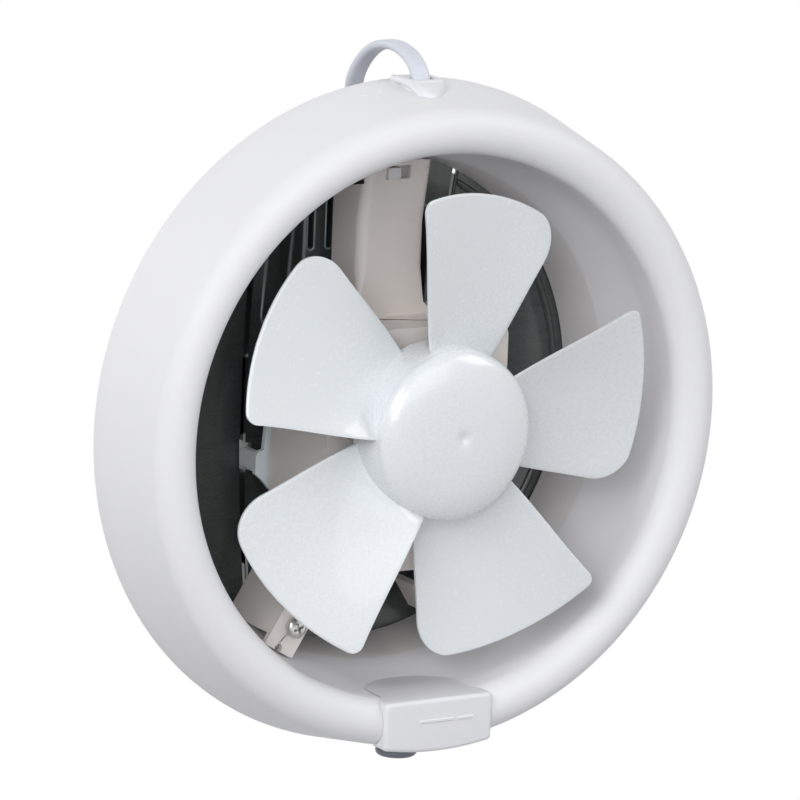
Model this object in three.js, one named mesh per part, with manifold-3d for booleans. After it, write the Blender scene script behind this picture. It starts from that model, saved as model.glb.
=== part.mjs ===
// Window exhaust fan: a round moulded housing with a rolled front lip, a five-blade impeller on a
// shaded-pole motor held by a three-armed bracket, and a two-leaf shutter behind it.
// Millimetres. The fan's axis is Y and the air leaves towards +Y. The origin lies on the axis in the
// plane of the window glass, against which the rear edge of the housing rests. +X is to the right
// and +Z is up for someone who faces the fan from the room.

import * as THREE from 'three';
import * as BufferGeometryUtils from 'three/addons/utils/BufferGeometryUtils.js';
import Module from 'manifold-3d';

const wasm = await Module();
wasm.setup();

// ---------------------------------------------------------------------------------------------
// Driving dimensions
// ---------------------------------------------------------------------------------------------

const GAP = 0.3;                    // clearance between pieces that touch
const ROUND_STEPS = 64;             // facets round the large revolved pieces
const SCREW_STEPS = 8;              // facets round a screw
const SMALL_STEPS = 12;             // facets round small pins, screws and holes

// Housing
const LIP_RADIUS = 106;             // outside radius at the rolled front lip
const LIP_ROLL = 7.8;               // radius of the roll itself
const SKIRT_DEPTH = 36;             // from the front of the lip back to the glass
const SKIRT_FLARE = 5.2;            // the skirt widens by this towards the glass
const SKIRT_REAR_RADIUS = LIP_RADIUS + SKIRT_FLARE;
const HOUSING_WALL = 2.4;
const BELL_STRAIGHT_END = -20;      // the bell narrows from here to the seam
const BELL_NARROWING = 5.8;
const SEAM_RADIUS = LIP_RADIUS - 2 * LIP_ROLL - BELL_NARROWING;
const SEAM_Y = 3.8;

// Duct
const DUCT_SOCKET = 6.4;            // the duct is this much wider than the seam it is pushed over
const DUCT_OUTSIDE_RADIUS = SEAM_RADIUS + DUCT_SOCKET;   // goes through a 184 mm hole
const DUCT_TAPER = 2.1;
const DUCT_END_RADIUS = SEAM_RADIUS - DUCT_TAPER;
const DUCT_END_Y = 26;
const FLANGE_THICKNESS = 2.5;
const GASKET_THICKNESS = 2.2;
const GLASS_GAP = 6;                // pane of up to 5.4 mm between gasket and clips

// Motor bracket
const BRACKET_WALL = 2;
const BOX_HALF_WIDTH = 33.7;
const BOX_BOTTOM = -50.3;
const BOX_TOP = 31;
const BOX_FRONT_Y = -16;
const BOX_REAR_Y = 21;
const TOP_ARM_WIDTH = 25;
const TOP_ARM_FRONT_Y = 4;
const LOW_ARM_WIDTH = 24;
const LOW_ARM_FRONT_Y = -8;
const LOW_ARM_ANGLE = 32;           // degrees from straight down
const FOOT_WIDTH = 12;
const FOOT_ANGLE = 29.72;           // of the feet's screws, in degrees from straight down
const FOOT_RADIUS = SEAM_RADIUS - 6.53;

// Impeller
const BLADES = 5;
const TIP_CLEARANCE = 6.3;          // between the blades and the narrowest part of the bell
const TIP_RADIUS = SEAM_RADIUS - TIP_CLEARANCE;
const HUB_RADIUS = 28.2;
const HUB_FRONT_Y = -38;
const HUB_REAR_Y = -22;
const CAP_HEIGHT = 7.5;
const BLADE_THICKNESS = 1.6;
const LEADING_ANGLE = 101;          // leading corner of the uppermost blade at rest
const TIP_SPAN = 48.5;              // degrees that a blade covers at its tip
const ROOT_SPAN = 64.5;
const LEADING_Y = { root: -36.6, tip: -39.5 };
const TRAILING_Y = { root: -24, tip: -25 };

// Motor
const SHAFT_RADIUS = 2.5;
const ROTOR_RADIUS = 13;
const CORE_FRONT_Y = -6;
const CORE_REAR_Y = 10;
const CORE_CLEARANCE = 2.7;         // between the core and the bracket's side walls
const CORE_HALF_WIDTH = BOX_HALF_WIDTH - BRACKET_WALL - CORE_CLEARANCE;
const BOLT_INSET = 5;
const BOLT_X = CORE_HALF_WIDTH - BOLT_INSET;

// Shutter
const DOME_RADIUS = 320;            // the closed shutter bulges like a shallow dish
const SHUTTER_STEPS = 48;
const SHUTTER_SKIN = 2.2;
const SHUTTER_RIM_WIDTH = 5.5;
const SHUTTER_RIM_RADIUS = DUCT_END_RADIUS + SHUTTER_RIM_WIDTH;
const PANEL_HALF_WIDTH = 35.6;
const LEAF_GAP = 1.6;
const HINGE_Y = 40.4;
const HINGE_BARREL_RADIUS = 2.8;
const HINGE_PIN_RADIUS = 1.2;

// Control block and pull cord
const BLOCK_HALF_WIDTH = 20.5;
const BLOCK_DEPTH = 17.5;
const BLOCK_TOP = BLOCK_DEPTH - LIP_RADIUS;
const BLOCK_FRONT_Y = -37.6;
const CORD_Y = -11;
const KNOB_RADIUS = 7;
const KNOB_HEIGHT = 3.4;

// Mains lead: flat two-core flex
const FLEX_WIDTH = 6.4;
const FLEX_THICKNESS = 3.2;

// ---------------------------------------------------------------------------------------------
// Solids
// ---------------------------------------------------------------------------------------------

// Merges shared vertices and turns the faces outwards, so that a geometry is one closed solid.
function solid(geometry) {
  const bare = geometry.index ? geometry.toNonIndexed() : geometry.clone();
  bare.deleteAttribute('normal');
  bare.deleteAttribute('uv');
  const merged = BufferGeometryUtils.mergeVertices(bare, 1e-4);
  const points = merged.attributes.position.array;
  const raw = merged.index.array;
  const faces = [];
  for (let i = 0; i < raw.length; i += 3) {
    const [a, b, c] = [raw[i], raw[i + 1], raw[i + 2]];
    if (a !== b && b !== c && c !== a) faces.push(a, b, c);
  }
  let volume = 0;
  const corner = [new THREE.Vector3(), new THREE.Vector3(), new THREE.Vector3()];
  for (let i = 0; i < faces.length; i += 3) {
    corner.forEach((v, k) => v.fromArray(points, 3 * faces[i + k]));
    volume += corner[0].dot(corner[1].clone().cross(corner[2]));
  }
  if (volume < 0) faces.reverse();
  return new wasm.Manifold(new wasm.Mesh({
    numProp: 3,
    vertProperties: new Float32Array(points),
    triVerts: new Uint32Array(faces),
  }));
}

// Turns a manifold solid back into a three.js geometry.
function geometryOf(body) {
  const mesh = body.getMesh();
  const geometry = new THREE.BufferGeometry();
  geometry.setAttribute('position', new THREE.BufferAttribute(new Float32Array(mesh.vertProperties), 3));
  geometry.setIndex(new THREE.BufferAttribute(new Uint32Array(mesh.triVerts), 1));
  geometry.computeVertexNormals();
  return geometry;
}

const join = (first, ...others) => others.reduce((sum, next) => sum.add(next), first);
const cut = (first, ...others) => others.reduce((rest, next) => rest.subtract(next), first);
const keep = (first, second) => first.intersect(second);

// A closed [radius, y] outline turned about the Y axis.
function revolve(outline, steps = ROUND_STEPS) {
  const points = outline.map(([r, y]) => new THREE.Vector2(r, y));
  const onAxis = outline[0][0] === 0 && outline[outline.length - 1][0] === 0;
  if (!onAxis) points.push(points[0].clone());
  return solid(new THREE.LatheGeometry(points, steps));
}

// A box given by its lowest and highest corners.
function block(low, high) {
  const size = high.map((v, i) => v - low[i]);
  const geometry = new THREE.BoxGeometry(...size);
  geometry.translate(...low.map((v, i) => v + size[i] / 2));
  return solid(geometry);
}

// A [x, z] outline made as thick as the stretch from y0 to y1.
function plate(outline, y0, y1, curveSegments = 8) {
  const shape = outline instanceof THREE.Shape ? outline : polygon(outline);
  const geometry = new THREE.ExtrudeGeometry(shape, { depth: y1 - y0, bevelEnabled: false, curveSegments });
  geometry.rotateX(Math.PI / 2);
  geometry.translate(0, y1, 0);
  return solid(geometry);
}

function polygon(outline) {
  return new THREE.Shape(outline.map(([x, y]) => new THREE.Vector2(x, y)));
}

// A rectangle with rounded corners, as a shape.
function roundedRectangle(x0, z0, x1, z1, radius) {
  const shape = new THREE.Shape();
  shape.moveTo(x0 + radius, z0);
  shape.lineTo(x1 - radius, z0);
  shape.absarc(x1 - radius, z0 + radius, radius, -Math.PI / 2, 0);
  shape.lineTo(x1, z1 - radius);
  shape.absarc(x1 - radius, z1 - radius, radius, 0, Math.PI / 2);
  shape.lineTo(x0 + radius, z1);
  shape.absarc(x0 + radius, z1 - radius, radius, Math.PI / 2, Math.PI);
  shape.lineTo(x0, z0 + radius);
  shape.absarc(x0 + radius, z0 + radius, radius, Math.PI, 1.5 * Math.PI);
  return shape;
}

// A cylinder along an axis ('x', 'y' or 'z') between two places on it.
function rod(axis, radius, from, to, centre = [0, 0], steps = SMALL_STEPS) {
  const geometry = new THREE.CylinderGeometry(radius, radius, to - from, steps);
  const middle = (from + to) / 2;
  if (axis === 'y') geometry.translate(centre[0], middle, centre[1]);
  if (axis === 'x') {
    geometry.rotateZ(Math.PI / 2);
    geometry.translate(middle, centre[0], centre[1]);
  }
  if (axis === 'z') {
    geometry.rotateX(Math.PI / 2);
    geometry.translate(centre[0], centre[1], middle);
  }
  return solid(geometry);
}

const degrees = THREE.MathUtils.degToRad;
const mirrored = (body) => body.mirror([1, 0, 0]);

// ---------------------------------------------------------------------------------------------
// Scene
// ---------------------------------------------------------------------------------------------

const fan = new THREE.Group();

const FINISH = {
  housing: { color: 0xe9e7ee, roughness: 0.22, metalness: 0 },
  duct: { color: 0xdddbe0, roughness: 0.35, metalness: 0 },
  bracket: { color: 0xd9d6dc, roughness: 0.4, metalness: 0 },
  impeller: { color: 0xe6ebf0, roughness: 0.2, metalness: 0 },
  milky: { color: 0xdfe0e6, roughness: 0.3, metalness: 0 },
  shutter: { color: 0x4a5150, roughness: 0.45, metalness: 0 },
  slide: { color: 0xcfdde2, roughness: 0.35, metalness: 0 },
  darkGrey: { color: 0x3c4247, roughness: 0.5, metalness: 0 },
  foam: { color: 0x2b2c2e, roughness: 0.95, metalness: 0 },
  steel: { color: 0xb9bbb8, roughness: 0.3, metalness: 1 },
  lamination: { color: 0x6e7072, roughness: 0.5, metalness: 0.9 },
  winding: { color: 0xb5652f, roughness: 0.45, metalness: 0.5 },
  aluminium: { color: 0xc3c6c9, roughness: 0.4, metalness: 1 },
  flex: { color: 0xd6dae3, roughness: 0.45, metalness: 0 },
  brass: { color: 0xc9a861, roughness: 0.3, metalness: 1 },
};

function add(name, shape, finish, place = [0, 0, 0]) {
  const geometry = shape.isBufferGeometry ? shape : geometryOf(shape);
  const mesh = new THREE.Mesh(geometry, new THREE.MeshStandardMaterial(FINISH[finish]));
  mesh.name = name;
  mesh.position.set(...place);
  fan.add(mesh);
  return mesh;
}

// ---------------------------------------------------------------------------------------------
// Housing: skirt, rolled lip and bell mouth in one moulding
// ---------------------------------------------------------------------------------------------

const LIP_CENTRE = [LIP_RADIUS - LIP_ROLL, -SKIRT_DEPTH + LIP_ROLL];
const BELL_RADIUS = LIP_RADIUS - 2 * LIP_ROLL;

// Inside radius of the bell at a distance y from the glass.
function bellRadius(y) {
  const t = THREE.MathUtils.clamp((y - BELL_STRAIGHT_END) / (SEAM_Y - BELL_STRAIGHT_END), 0, 1);
  return SEAM_RADIUS + (BELL_RADIUS - SEAM_RADIUS) * Math.cos(t * Math.PI / 2);
}

// Angle, seen from the middle of the roll, at which a line to the point at the glass leaves it.
function tangentAngle(radius, roll) {
  const [dr, dy] = [radius - LIP_CENTRE[0], -LIP_CENTRE[1]];
  return Math.atan2(dy, dr) - Math.acos(roll / Math.hypot(dr, dy));
}

// The surface that a wall 'inset' inside the outer skin follows, from the glass round the lip to
// the seam.
function housingSurface(inset, lipSteps, bellSteps) {
  const outline = [[SKIRT_REAR_RADIUS - inset, 0]];
  const roll = LIP_ROLL - inset;
  const start = tangentAngle(SKIRT_REAR_RADIUS - inset, roll);
  for (let i = 0; i <= lipSteps; i += 1) {
    const angle = start + (-Math.PI - start) * i / lipSteps;
    outline.push([LIP_CENTRE[0] + roll * Math.cos(angle), LIP_CENTRE[1] + roll * Math.sin(angle)]);
  }
  for (let i = 0; i <= bellSteps; i += 1) {
    const y = BELL_STRAIGHT_END + (SEAM_Y - BELL_STRAIGHT_END) * i / bellSteps;
    outline.push([bellRadius(y) + inset, y]);
  }
  return outline;
}

const housingSkin = housingSurface(0, 7, 3);
const housingInside = housingSurface(HOUSING_WALL, 4, 2).reverse();
const housingEnvelope = revolve(housingSkin);

// Radius of the skirt's outside at a distance y from the glass.
function skirtRadius(y) {
  const slope = Math.tan(-tangentAngle(SKIRT_REAR_RADIUS, LIP_ROLL));
  return SKIRT_REAR_RADIUS + y * slope;
}

const leadExitZ = skirtRadius(CORD_Y);
const leadSlot = block(
  [-FLEX_WIDTH / 2 - GAP, CORD_Y - FLEX_THICKNESS / 2 - GAP, leadExitZ - 2 * HOUSING_WALL],
  [FLEX_WIDTH / 2 + GAP, CORD_Y + FLEX_THICKNESS / 2 + 3 * GAP, leadExitZ + 12],
);
const PULL_CORD_RADIUS = 0.9;
const pullCordHole = rod('z', PULL_CORD_RADIUS + 0.6, -skirtRadius(CORD_Y) - 2, -skirtRadius(CORD_Y) + 6,
  [0, CORD_Y]);
const housing = cut(revolve([...housingSkin, ...housingInside]), leadSlot, pullCordHole);
add('front_housing', housing, 'housing');

// ---------------------------------------------------------------------------------------------
// Duct with its flange, the bosses for the bracket's feet and the hook for its top arm
// ---------------------------------------------------------------------------------------------

const FLANGE_REAR_Y = -GASKET_THICKNESS - GAP;
const FLANGE_FRONT_Y = FLANGE_REAR_Y - FLANGE_THICKNESS;
const FLANGE_RADIUS = SKIRT_REAR_RADIUS - HOUSING_WALL - 1;
const SOCKET_RADIUS = DUCT_OUTSIDE_RADIUS - 1.5;
const DUCT_STEP_Y = SEAM_Y + GAP;
const DUCT_STEP_RADIUS = SEAM_RADIUS + 0.2;

// Inside radius of the duct at a distance y from the glass.
const ductRadius = (y) => THREE.MathUtils.mapLinear(
  y, DUCT_STEP_Y, DUCT_END_Y, DUCT_STEP_RADIUS, DUCT_END_RADIUS);

const ductShell = revolve([
  [DUCT_OUTSIDE_RADIUS, FLANGE_FRONT_Y],
  [FLANGE_RADIUS, FLANGE_FRONT_Y],
  [FLANGE_RADIUS, FLANGE_REAR_Y],
  [DUCT_OUTSIDE_RADIUS, FLANGE_REAR_Y],
  [DUCT_OUTSIDE_RADIUS, DUCT_END_Y],
  [DUCT_END_RADIUS, DUCT_END_Y],
  [DUCT_STEP_RADIUS, DUCT_STEP_Y],
  [SOCKET_RADIUS, DUCT_STEP_Y],
  [SOCKET_RADIUS, FLANGE_REAR_Y + 0.5],
]);
const ductBore = (radius) => rod('y', radius, -60, 60, [0, 0], ROUND_STEPS);

const FOOT_THICKNESS = BRACKET_WALL;
const BOSS_RADIUS = 4.5;
const BOSS_REAR_Y = 14;
const BOSS_FRONT_Y = LOW_ARM_FRONT_Y + FOOT_THICKNESS + GAP;
const FOOT_SCREW_RADIUS = 1.8;
const footDirection = [Math.sin(degrees(FOOT_ANGLE)), -Math.cos(degrees(FOOT_ANGLE))];
const FOOT_SCREW = footDirection.map((v) => FOOT_RADIUS * v);

// Post that carries one foot, with the web that ties it to the duct's wall.
function footPost() {
  const post = rod('y', BOSS_RADIUS, BOSS_FRONT_Y, BOSS_REAR_Y, FOOT_SCREW);
  const webOutline = [[-1.5, 0], [1.5, 0], [1.5, -12], [-1.5, -12]].map(([side, out]) => [
    FOOT_SCREW[0] - side * footDirection[1] - out * footDirection[0],
    FOOT_SCREW[1] + side * footDirection[0] - out * footDirection[1],
  ]);
  const web = keep(plate(webOutline, DUCT_STEP_Y + 0.9, BOSS_REAR_Y), ductBore(DUCT_STEP_RADIUS + 2));
  return join(post, web);
}

const footHole = rod('y', FOOT_SCREW_RADIUS + GAP, BOSS_FRONT_Y - 1, BOSS_REAR_Y - 3, FOOT_SCREW);

// The top arm leans forward towards its end.
const ARM_LEAN_START_Z = SEAM_RADIUS - 22.6;
const ARM_END_RADIUS = SEAM_RADIUS - 0.8;
const ARM_LEAN = 4;
const armFrontY = (z) => (z < ARM_LEAN_START_Z ? TOP_ARM_FRONT_Y
  : TOP_ARM_FRONT_Y - ARM_LEAN * (z - ARM_LEAN_START_Z) / (ARM_END_RADIUS - ARM_LEAN_START_Z));

// A [y, z] outline made as wide as the stretch from x0 to x1.
function sidePlate(outline, x0, x1) {
  const geometry = new THREE.ExtrudeGeometry(polygon(outline), { depth: x1 - x0, bevelEnabled: false });
  geometry.rotateY(Math.PI / 2);
  geometry.rotateX(Math.PI / 2);
  geometry.translate(x0, 0, 0);
  return solid(geometry);
}

const SLOT_LOW = SEAM_RADIUS - 7.4;
const SLOT_HIGH = SEAM_RADIUS - 2.8;
const HOOK_WIDTH = 4.6;
const hookLug = keep(join(
  sidePlate([
    [armFrontY(SLOT_LOW - 2) + BRACKET_WALL + GAP, SLOT_LOW - 2],
    [BOSS_REAR_Y, SLOT_LOW - 2],
    [BOSS_REAR_Y, SEAM_RADIUS + 3],
    [DUCT_STEP_Y + 0.9, SEAM_RADIUS + 3],
    [DUCT_STEP_Y + 0.9, SLOT_HIGH + 1],
    [armFrontY(SLOT_HIGH) + BRACKET_WALL + GAP, SLOT_HIGH + 1],
  ], -7, 7),
  block([-5, armFrontY(SLOT_HIGH) - 0.6, SLOT_LOW + GAP], [-5 + HOOK_WIDTH, 6, SLOT_HIGH - GAP - 0.4]),
), ductBore(DUCT_STEP_RADIUS + 2));

const duct = cut(join(ductShell, footPost(), mirrored(footPost()), hookLug), footHole, mirrored(footHole));
add('window_gasket', revolve([
  [DUCT_OUTSIDE_RADIUS + 1, -GASKET_THICKNESS],
  [SKIRT_REAR_RADIUS - HOUSING_WALL - 1.6, -GASKET_THICKNESS],
  [SKIRT_REAR_RADIUS - HOUSING_WALL - 1.6, 0],
  [DUCT_OUTSIDE_RADIUS + 1, 0],
]), 'foam');

// Clips that hold the pane against the gasket, each with its screw in the duct's wall.
const CLIP_WIDTH = 14;
const CLIP_STEEL = 1.5;
const CLIP_REACH = 11;
const CLIP_LENGTH = 10.5;
const CLIP_ANGLES = { upper_right: 50, upper_left: 130, lower_left: 230, lower_right: 310 };
const CLIP_SCREW_Y = GLASS_GAP + 6;
const CLIP_SCREW_RADIUS = 1.6;
const clipBase = DUCT_OUTSIDE_RADIUS + GAP;

function clipSolid() {
  const strap = sidePlate([
    [GLASS_GAP, clipBase],
    [GLASS_GAP + CLIP_LENGTH, clipBase],
    [GLASS_GAP + CLIP_LENGTH, clipBase + CLIP_STEEL],
    [GLASS_GAP + CLIP_STEEL, clipBase + CLIP_STEEL],
    [GLASS_GAP + CLIP_STEEL, clipBase + CLIP_REACH],
    [GLASS_GAP, clipBase + CLIP_REACH],
  ], -CLIP_WIDTH / 2, CLIP_WIDTH / 2);
  return cut(strap, rod('z', CLIP_SCREW_RADIUS + GAP, clipBase - 5, clipBase + 5, [0, CLIP_SCREW_Y]));
}

// A pan-head screw along +Z whose head rests at z = 0, with a cross cut in its head.
function panScrew(radius, headRadius, headHeight, length) {
  const head = new THREE.LatheGeometry([
    new THREE.Vector2(0, headHeight),
    new THREE.Vector2(headRadius * 0.7, headHeight * 0.9),
    new THREE.Vector2(headRadius, headHeight * 0.4),
    new THREE.Vector2(headRadius, 0),
    new THREE.Vector2(radius, 0),
    new THREE.Vector2(0, -length),
  ], SCREW_STEPS);
  head.rotateX(Math.PI / 2);
  const arm = headRadius * 0.55;
  const slot = headRadius * 0.11;
  const depth = headHeight * 0.55;
  const cross = join(
    block([-arm, -slot, depth], [arm, slot, headHeight + 1]),
    block([-slot, -arm, depth], [slot, arm, headHeight + 1]),
  );
  return cut(solid(head), cross);
}

const clipScrewHole = rod('z', CLIP_SCREW_RADIUS + GAP, DUCT_OUTSIDE_RADIUS - 12, DUCT_OUTSIDE_RADIUS + 4,
  [0, CLIP_SCREW_Y]);
const clipHoles = Object.values(CLIP_ANGLES).map((angle) => clipScrewHole.rotate([0, 90 - angle, 0]));

for (const [corner, angle] of Object.entries(CLIP_ANGLES)) {
  const clip = add(`window_clip_${corner}`, clipSolid(), 'steel');
  clip.rotation.y = degrees(90 - angle);
  const screw = panScrew(CLIP_SCREW_RADIUS, 3.2, 2, 7).translate([0, CLIP_SCREW_Y, clipBase + CLIP_STEEL + GAP]);
  const screwMesh = add(`clip_screw_${corner}`, screw, 'steel');
  screwMesh.rotation.y = degrees(90 - angle);
}

// ---------------------------------------------------------------------------------------------
// Motor bracket: a box for the motor, a wide arm up and two arms down to the feet
// ---------------------------------------------------------------------------------------------

const boxOuter = plate(roundedRectangle(-BOX_HALF_WIDTH, BOX_BOTTOM, BOX_HALF_WIDTH, BOX_TOP, 5),
  BOX_FRONT_Y, BOX_REAR_Y, 4);
const boxInner = plate(roundedRectangle(-BOX_HALF_WIDTH + BRACKET_WALL, BOX_BOTTOM + BRACKET_WALL,
  BOX_HALF_WIDTH - BRACKET_WALL, BOX_TOP - BRACKET_WALL, 3), BOX_FRONT_Y + BRACKET_WALL, BOX_REAR_Y + 1, 4);

const armHalf = TOP_ARM_WIDTH / 2;
const armFlangeRear = BOX_REAR_Y + 1;

function topArm() {
  const face = sidePlate([
    [TOP_ARM_FRONT_Y, BOX_TOP - 3],
    [TOP_ARM_FRONT_Y, ARM_LEAN_START_Z],
    [TOP_ARM_FRONT_Y - ARM_LEAN, ARM_END_RADIUS],
    [TOP_ARM_FRONT_Y - ARM_LEAN + BRACKET_WALL, ARM_END_RADIUS],
    [TOP_ARM_FRONT_Y + BRACKET_WALL, ARM_LEAN_START_Z],
    [TOP_ARM_FRONT_Y + BRACKET_WALL, BOX_TOP - 3],
  ], -armHalf, armHalf);
  const gusset = plate([[-armHalf, BOX_TOP + 4], [-armHalf - 5, BOX_TOP - 1], [armHalf + 5, BOX_TOP - 1],
    [armHalf, BOX_TOP + 4]], TOP_ARM_FRONT_Y, TOP_ARM_FRONT_Y + BRACKET_WALL);
  const flange = sidePlate([
    [TOP_ARM_FRONT_Y + 0.5, BOX_TOP - 1],
    [armFlangeRear - 1, BOX_TOP - 1],
    [armFlangeRear, BOX_TOP + 4],
    [armFlangeRear, SEAM_RADIUS - 12.6],
    [armFrontY(SEAM_RADIUS - 8.6) + 1, SEAM_RADIUS - 8.6],
    [TOP_ARM_FRONT_Y + 0.5, ARM_LEAN_START_Z],
  ], armHalf - BRACKET_WALL, armHalf);
  const hole = block([-5 - GAP, -10, SLOT_LOW], [4, 12, SLOT_HIGH]);
  return keep(cut(join(face, gusset, flange, mirrored(flange)), hole), ductBore(ARM_END_RADIUS));
}

// One lower arm, on the right: a channel whose outer side runs from the corner of the box to the
// foot, and a narrower foot beyond the channel.
function lowArm() {
  const angle = degrees(LOW_ARM_ANGLE);
  const along = [Math.sin(angle), -Math.cos(angle)];
  const inward = [-Math.cos(angle), -Math.sin(angle)];
  const corner = [BOX_HALF_WIDTH, BOX_BOTTOM + 4];
  const at = (out, side) => [corner[0] + out * along[0] + side * inward[0],
    corner[1] + out * along[1] + side * inward[1]];
  const channelFace = plate([at(-6, 0), at(34, 0), at(34, LOW_ARM_WIDTH), at(-6, LOW_ARM_WIDTH)],
    LOW_ARM_FRONT_Y, LOW_ARM_FRONT_Y + BRACKET_WALL);
  const outerSide = plate([at(-2, 0), at(34, 0), at(34, BRACKET_WALL), at(-2, BRACKET_WALL)],
    LOW_ARM_FRONT_Y, BOX_REAR_Y);
  const innerSide = plate([at(4, LOW_ARM_WIDTH - BRACKET_WALL), at(34, LOW_ARM_WIDTH - BRACKET_WALL),
    at(34, LOW_ARM_WIDTH), at(4, LOW_ARM_WIDTH)], LOW_ARM_FRONT_Y, BOX_REAR_Y);
  const channel = keep(join(channelFace, outerSide, innerSide), ductBore(SEAM_RADIUS - 8.6));
  const footCentre = [0, 1].map((i) => at(0, 0)[i] + (FOOT_WIDTH / 2) * inward[i]);
  const reach = Math.hypot(...footDirection) * 41.5;
  const footShape = new THREE.Shape();
  const corners = [at(14, 0), at(reach, 0), at(reach, FOOT_WIDTH), at(14, FOOT_WIDTH)];
  footShape.moveTo(...corners[0]);
  footShape.lineTo(...at(reach - 3, 0));
  footShape.quadraticCurveTo(...corners[1], ...at(reach, 3));
  footShape.lineTo(...at(reach, FOOT_WIDTH - 3));
  footShape.quadraticCurveTo(...corners[2], ...at(reach - 3, FOOT_WIDTH));
  footShape.lineTo(...corners[3]);
  const foot = keep(plate(footShape, LOW_ARM_FRONT_Y, LOW_ARM_FRONT_Y + FOOT_THICKNESS, 4),
    ductBore(bellRadius(LOW_ARM_FRONT_Y) - 1));
  const screwHole = rod('y', FOOT_SCREW_RADIUS + GAP, LOW_ARM_FRONT_Y - 1, 0, FOOT_SCREW);
  const footEye = FOOT_SCREW.map((v, i) => v + 8.6 * footDirection[i] - 2 * inward[i]);
  const eye = rod('y', 1.4, LOW_ARM_FRONT_Y - 1, LOW_ARM_FRONT_Y + 4, footEye, 12);
  return cut(join(channel, foot), screwHole, eye);
}

const arms = cut(join(topArm(), lowArm(), mirrored(lowArm())), boxInner);
const slotHalf = 0.9;
const frontSlot = plate(roundedRectangle(-4.5 - slotHalf, -44, -4.5 + slotHalf, -32, 0.8),
  BOX_FRONT_Y - 1, BOX_FRONT_Y + 4, 2);
const BOLT_BOSS_RADIUS = 4;
const STRAP_THICKNESS = 2;
const FRONT_STRAP_Y = -11;
const boltBoss = rod('y', BOLT_BOSS_RADIUS, BOX_FRONT_Y + 1, FRONT_STRAP_Y - GAP, [BOLT_X, 0]);
const BOLT_RADIUS = 1.9;
const boltHole = rod('y', BOLT_RADIUS + GAP, BOX_FRONT_Y + BRACKET_WALL + 0.5, BOX_REAR_Y, [BOLT_X, 0]);
const bracket = cut(
  join(cut(boxOuter, boxInner), arms, boltBoss, mirrored(boltBoss)),
  frontSlot, mirrored(frontSlot), boltHole, mirrored(boltHole),
  rod('y', SHAFT_RADIUS + 2, BOX_FRONT_Y - 1, BOX_FRONT_Y + 4),
);
add('motor_bracket', bracket, 'bracket');

const footScrew = panScrew(FOOT_SCREW_RADIUS, 3.6, 2.4, 13).rotate([90, 0, 0]);
for (const [side, sign] of [['left', -1], ['right', 1]]) {
  add(`foot_screw_${side}`, footScrew, 'steel',
    [sign * FOOT_SCREW[0], LOW_ARM_FRONT_Y - GAP, FOOT_SCREW[1]]);
}

// ---------------------------------------------------------------------------------------------
// Motor: laminated core, winding, bearing straps, bolts, rotor and shaft
// ---------------------------------------------------------------------------------------------

const CORE_BOTTOM = -42;
const CORE_TOP = 22;
const LIMB_TOP = -30;
const WINDOW_TOP = -17.5;
const WINDOW_HALF_WIDTH = 17.5;
const coreOutline = roundedRectangle(-CORE_HALF_WIDTH, CORE_BOTTOM, CORE_HALF_WIDTH, CORE_TOP, 2);
const core = cut(
  plate(coreOutline, CORE_FRONT_Y, CORE_REAR_Y, 2),
  rod('y', ROTOR_RADIUS + 0.6, CORE_FRONT_Y - 1, CORE_REAR_Y + 1, [0, 0], 36),
  block([-WINDOW_HALF_WIDTH, CORE_FRONT_Y - 1, LIMB_TOP], [WINDOW_HALF_WIDTH, CORE_REAR_Y + 1, WINDOW_TOP]),
  boltHole, mirrored(boltHole),
);
add('motor_core', core, 'lamination');

const COIL_BUILD = 4.6;
const COIL_HALF_WIDTH = WINDOW_HALF_WIDTH - 0.7;
const coilOuter = block([-COIL_HALF_WIDTH, CORE_FRONT_Y - GAP - COIL_BUILD, CORE_BOTTOM - GAP - COIL_BUILD],
  [COIL_HALF_WIDTH, CORE_REAR_Y + GAP + COIL_BUILD, LIMB_TOP + GAP + COIL_BUILD]);
const coilInner = block([-WINDOW_HALF_WIDTH, CORE_FRONT_Y - GAP, CORE_BOTTOM - GAP],
  [WINDOW_HALF_WIDTH, CORE_REAR_Y + GAP, LIMB_TOP + GAP]);
add('motor_coil', cut(coilOuter, coilInner), 'winding');

// A bearing strap across the core: bar, two feet that stand on the core and the bearing's hub.
function bearingStrap(barFront, footFrom, footTo, hubFrom, hubTo) {
  const bar = plate(roundedRectangle(-28, -7, 28, 7, 5), barFront, barFront + STRAP_THICKNESS, 3);
  const foot = rod('y', BOLT_BOSS_RADIUS, footFrom, footTo, [BOLT_X, 0]);
  const hub = rod('y', 6.5, hubFrom, hubTo);
  const bore = rod('y', SHAFT_RADIUS + GAP, hubFrom - 1, hubTo + 1);
  return cut(join(bar, foot, mirrored(foot), hub), bore, boltHole, mirrored(boltHole));
}

const REAR_STRAP_Y = 13;
add('bearing_strap_front', bearingStrap(FRONT_STRAP_Y, FRONT_STRAP_Y + 1, CORE_FRONT_Y - GAP,
  FRONT_STRAP_Y, CORE_FRONT_Y - 0.8), 'aluminium');
add('bearing_strap_rear', bearingStrap(REAR_STRAP_Y, CORE_REAR_Y + GAP, REAR_STRAP_Y + 1,
  CORE_REAR_Y + 0.8, REAR_STRAP_Y + STRAP_THICKNESS), 'aluminium');

const boltHeadY = REAR_STRAP_Y + STRAP_THICKNESS + GAP;
const motorBolt = panScrew(BOLT_RADIUS, 3.4, 2.2, boltHeadY - BOX_FRONT_Y - BRACKET_WALL - 1).rotate([-90, 0, 0]);
for (const [side, sign] of [['left', -1], ['right', 1]]) {
  add(`motor_bolt_${side}`, motorBolt, 'steel', [sign * BOLT_X, boltHeadY, 0]);
}

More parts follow.
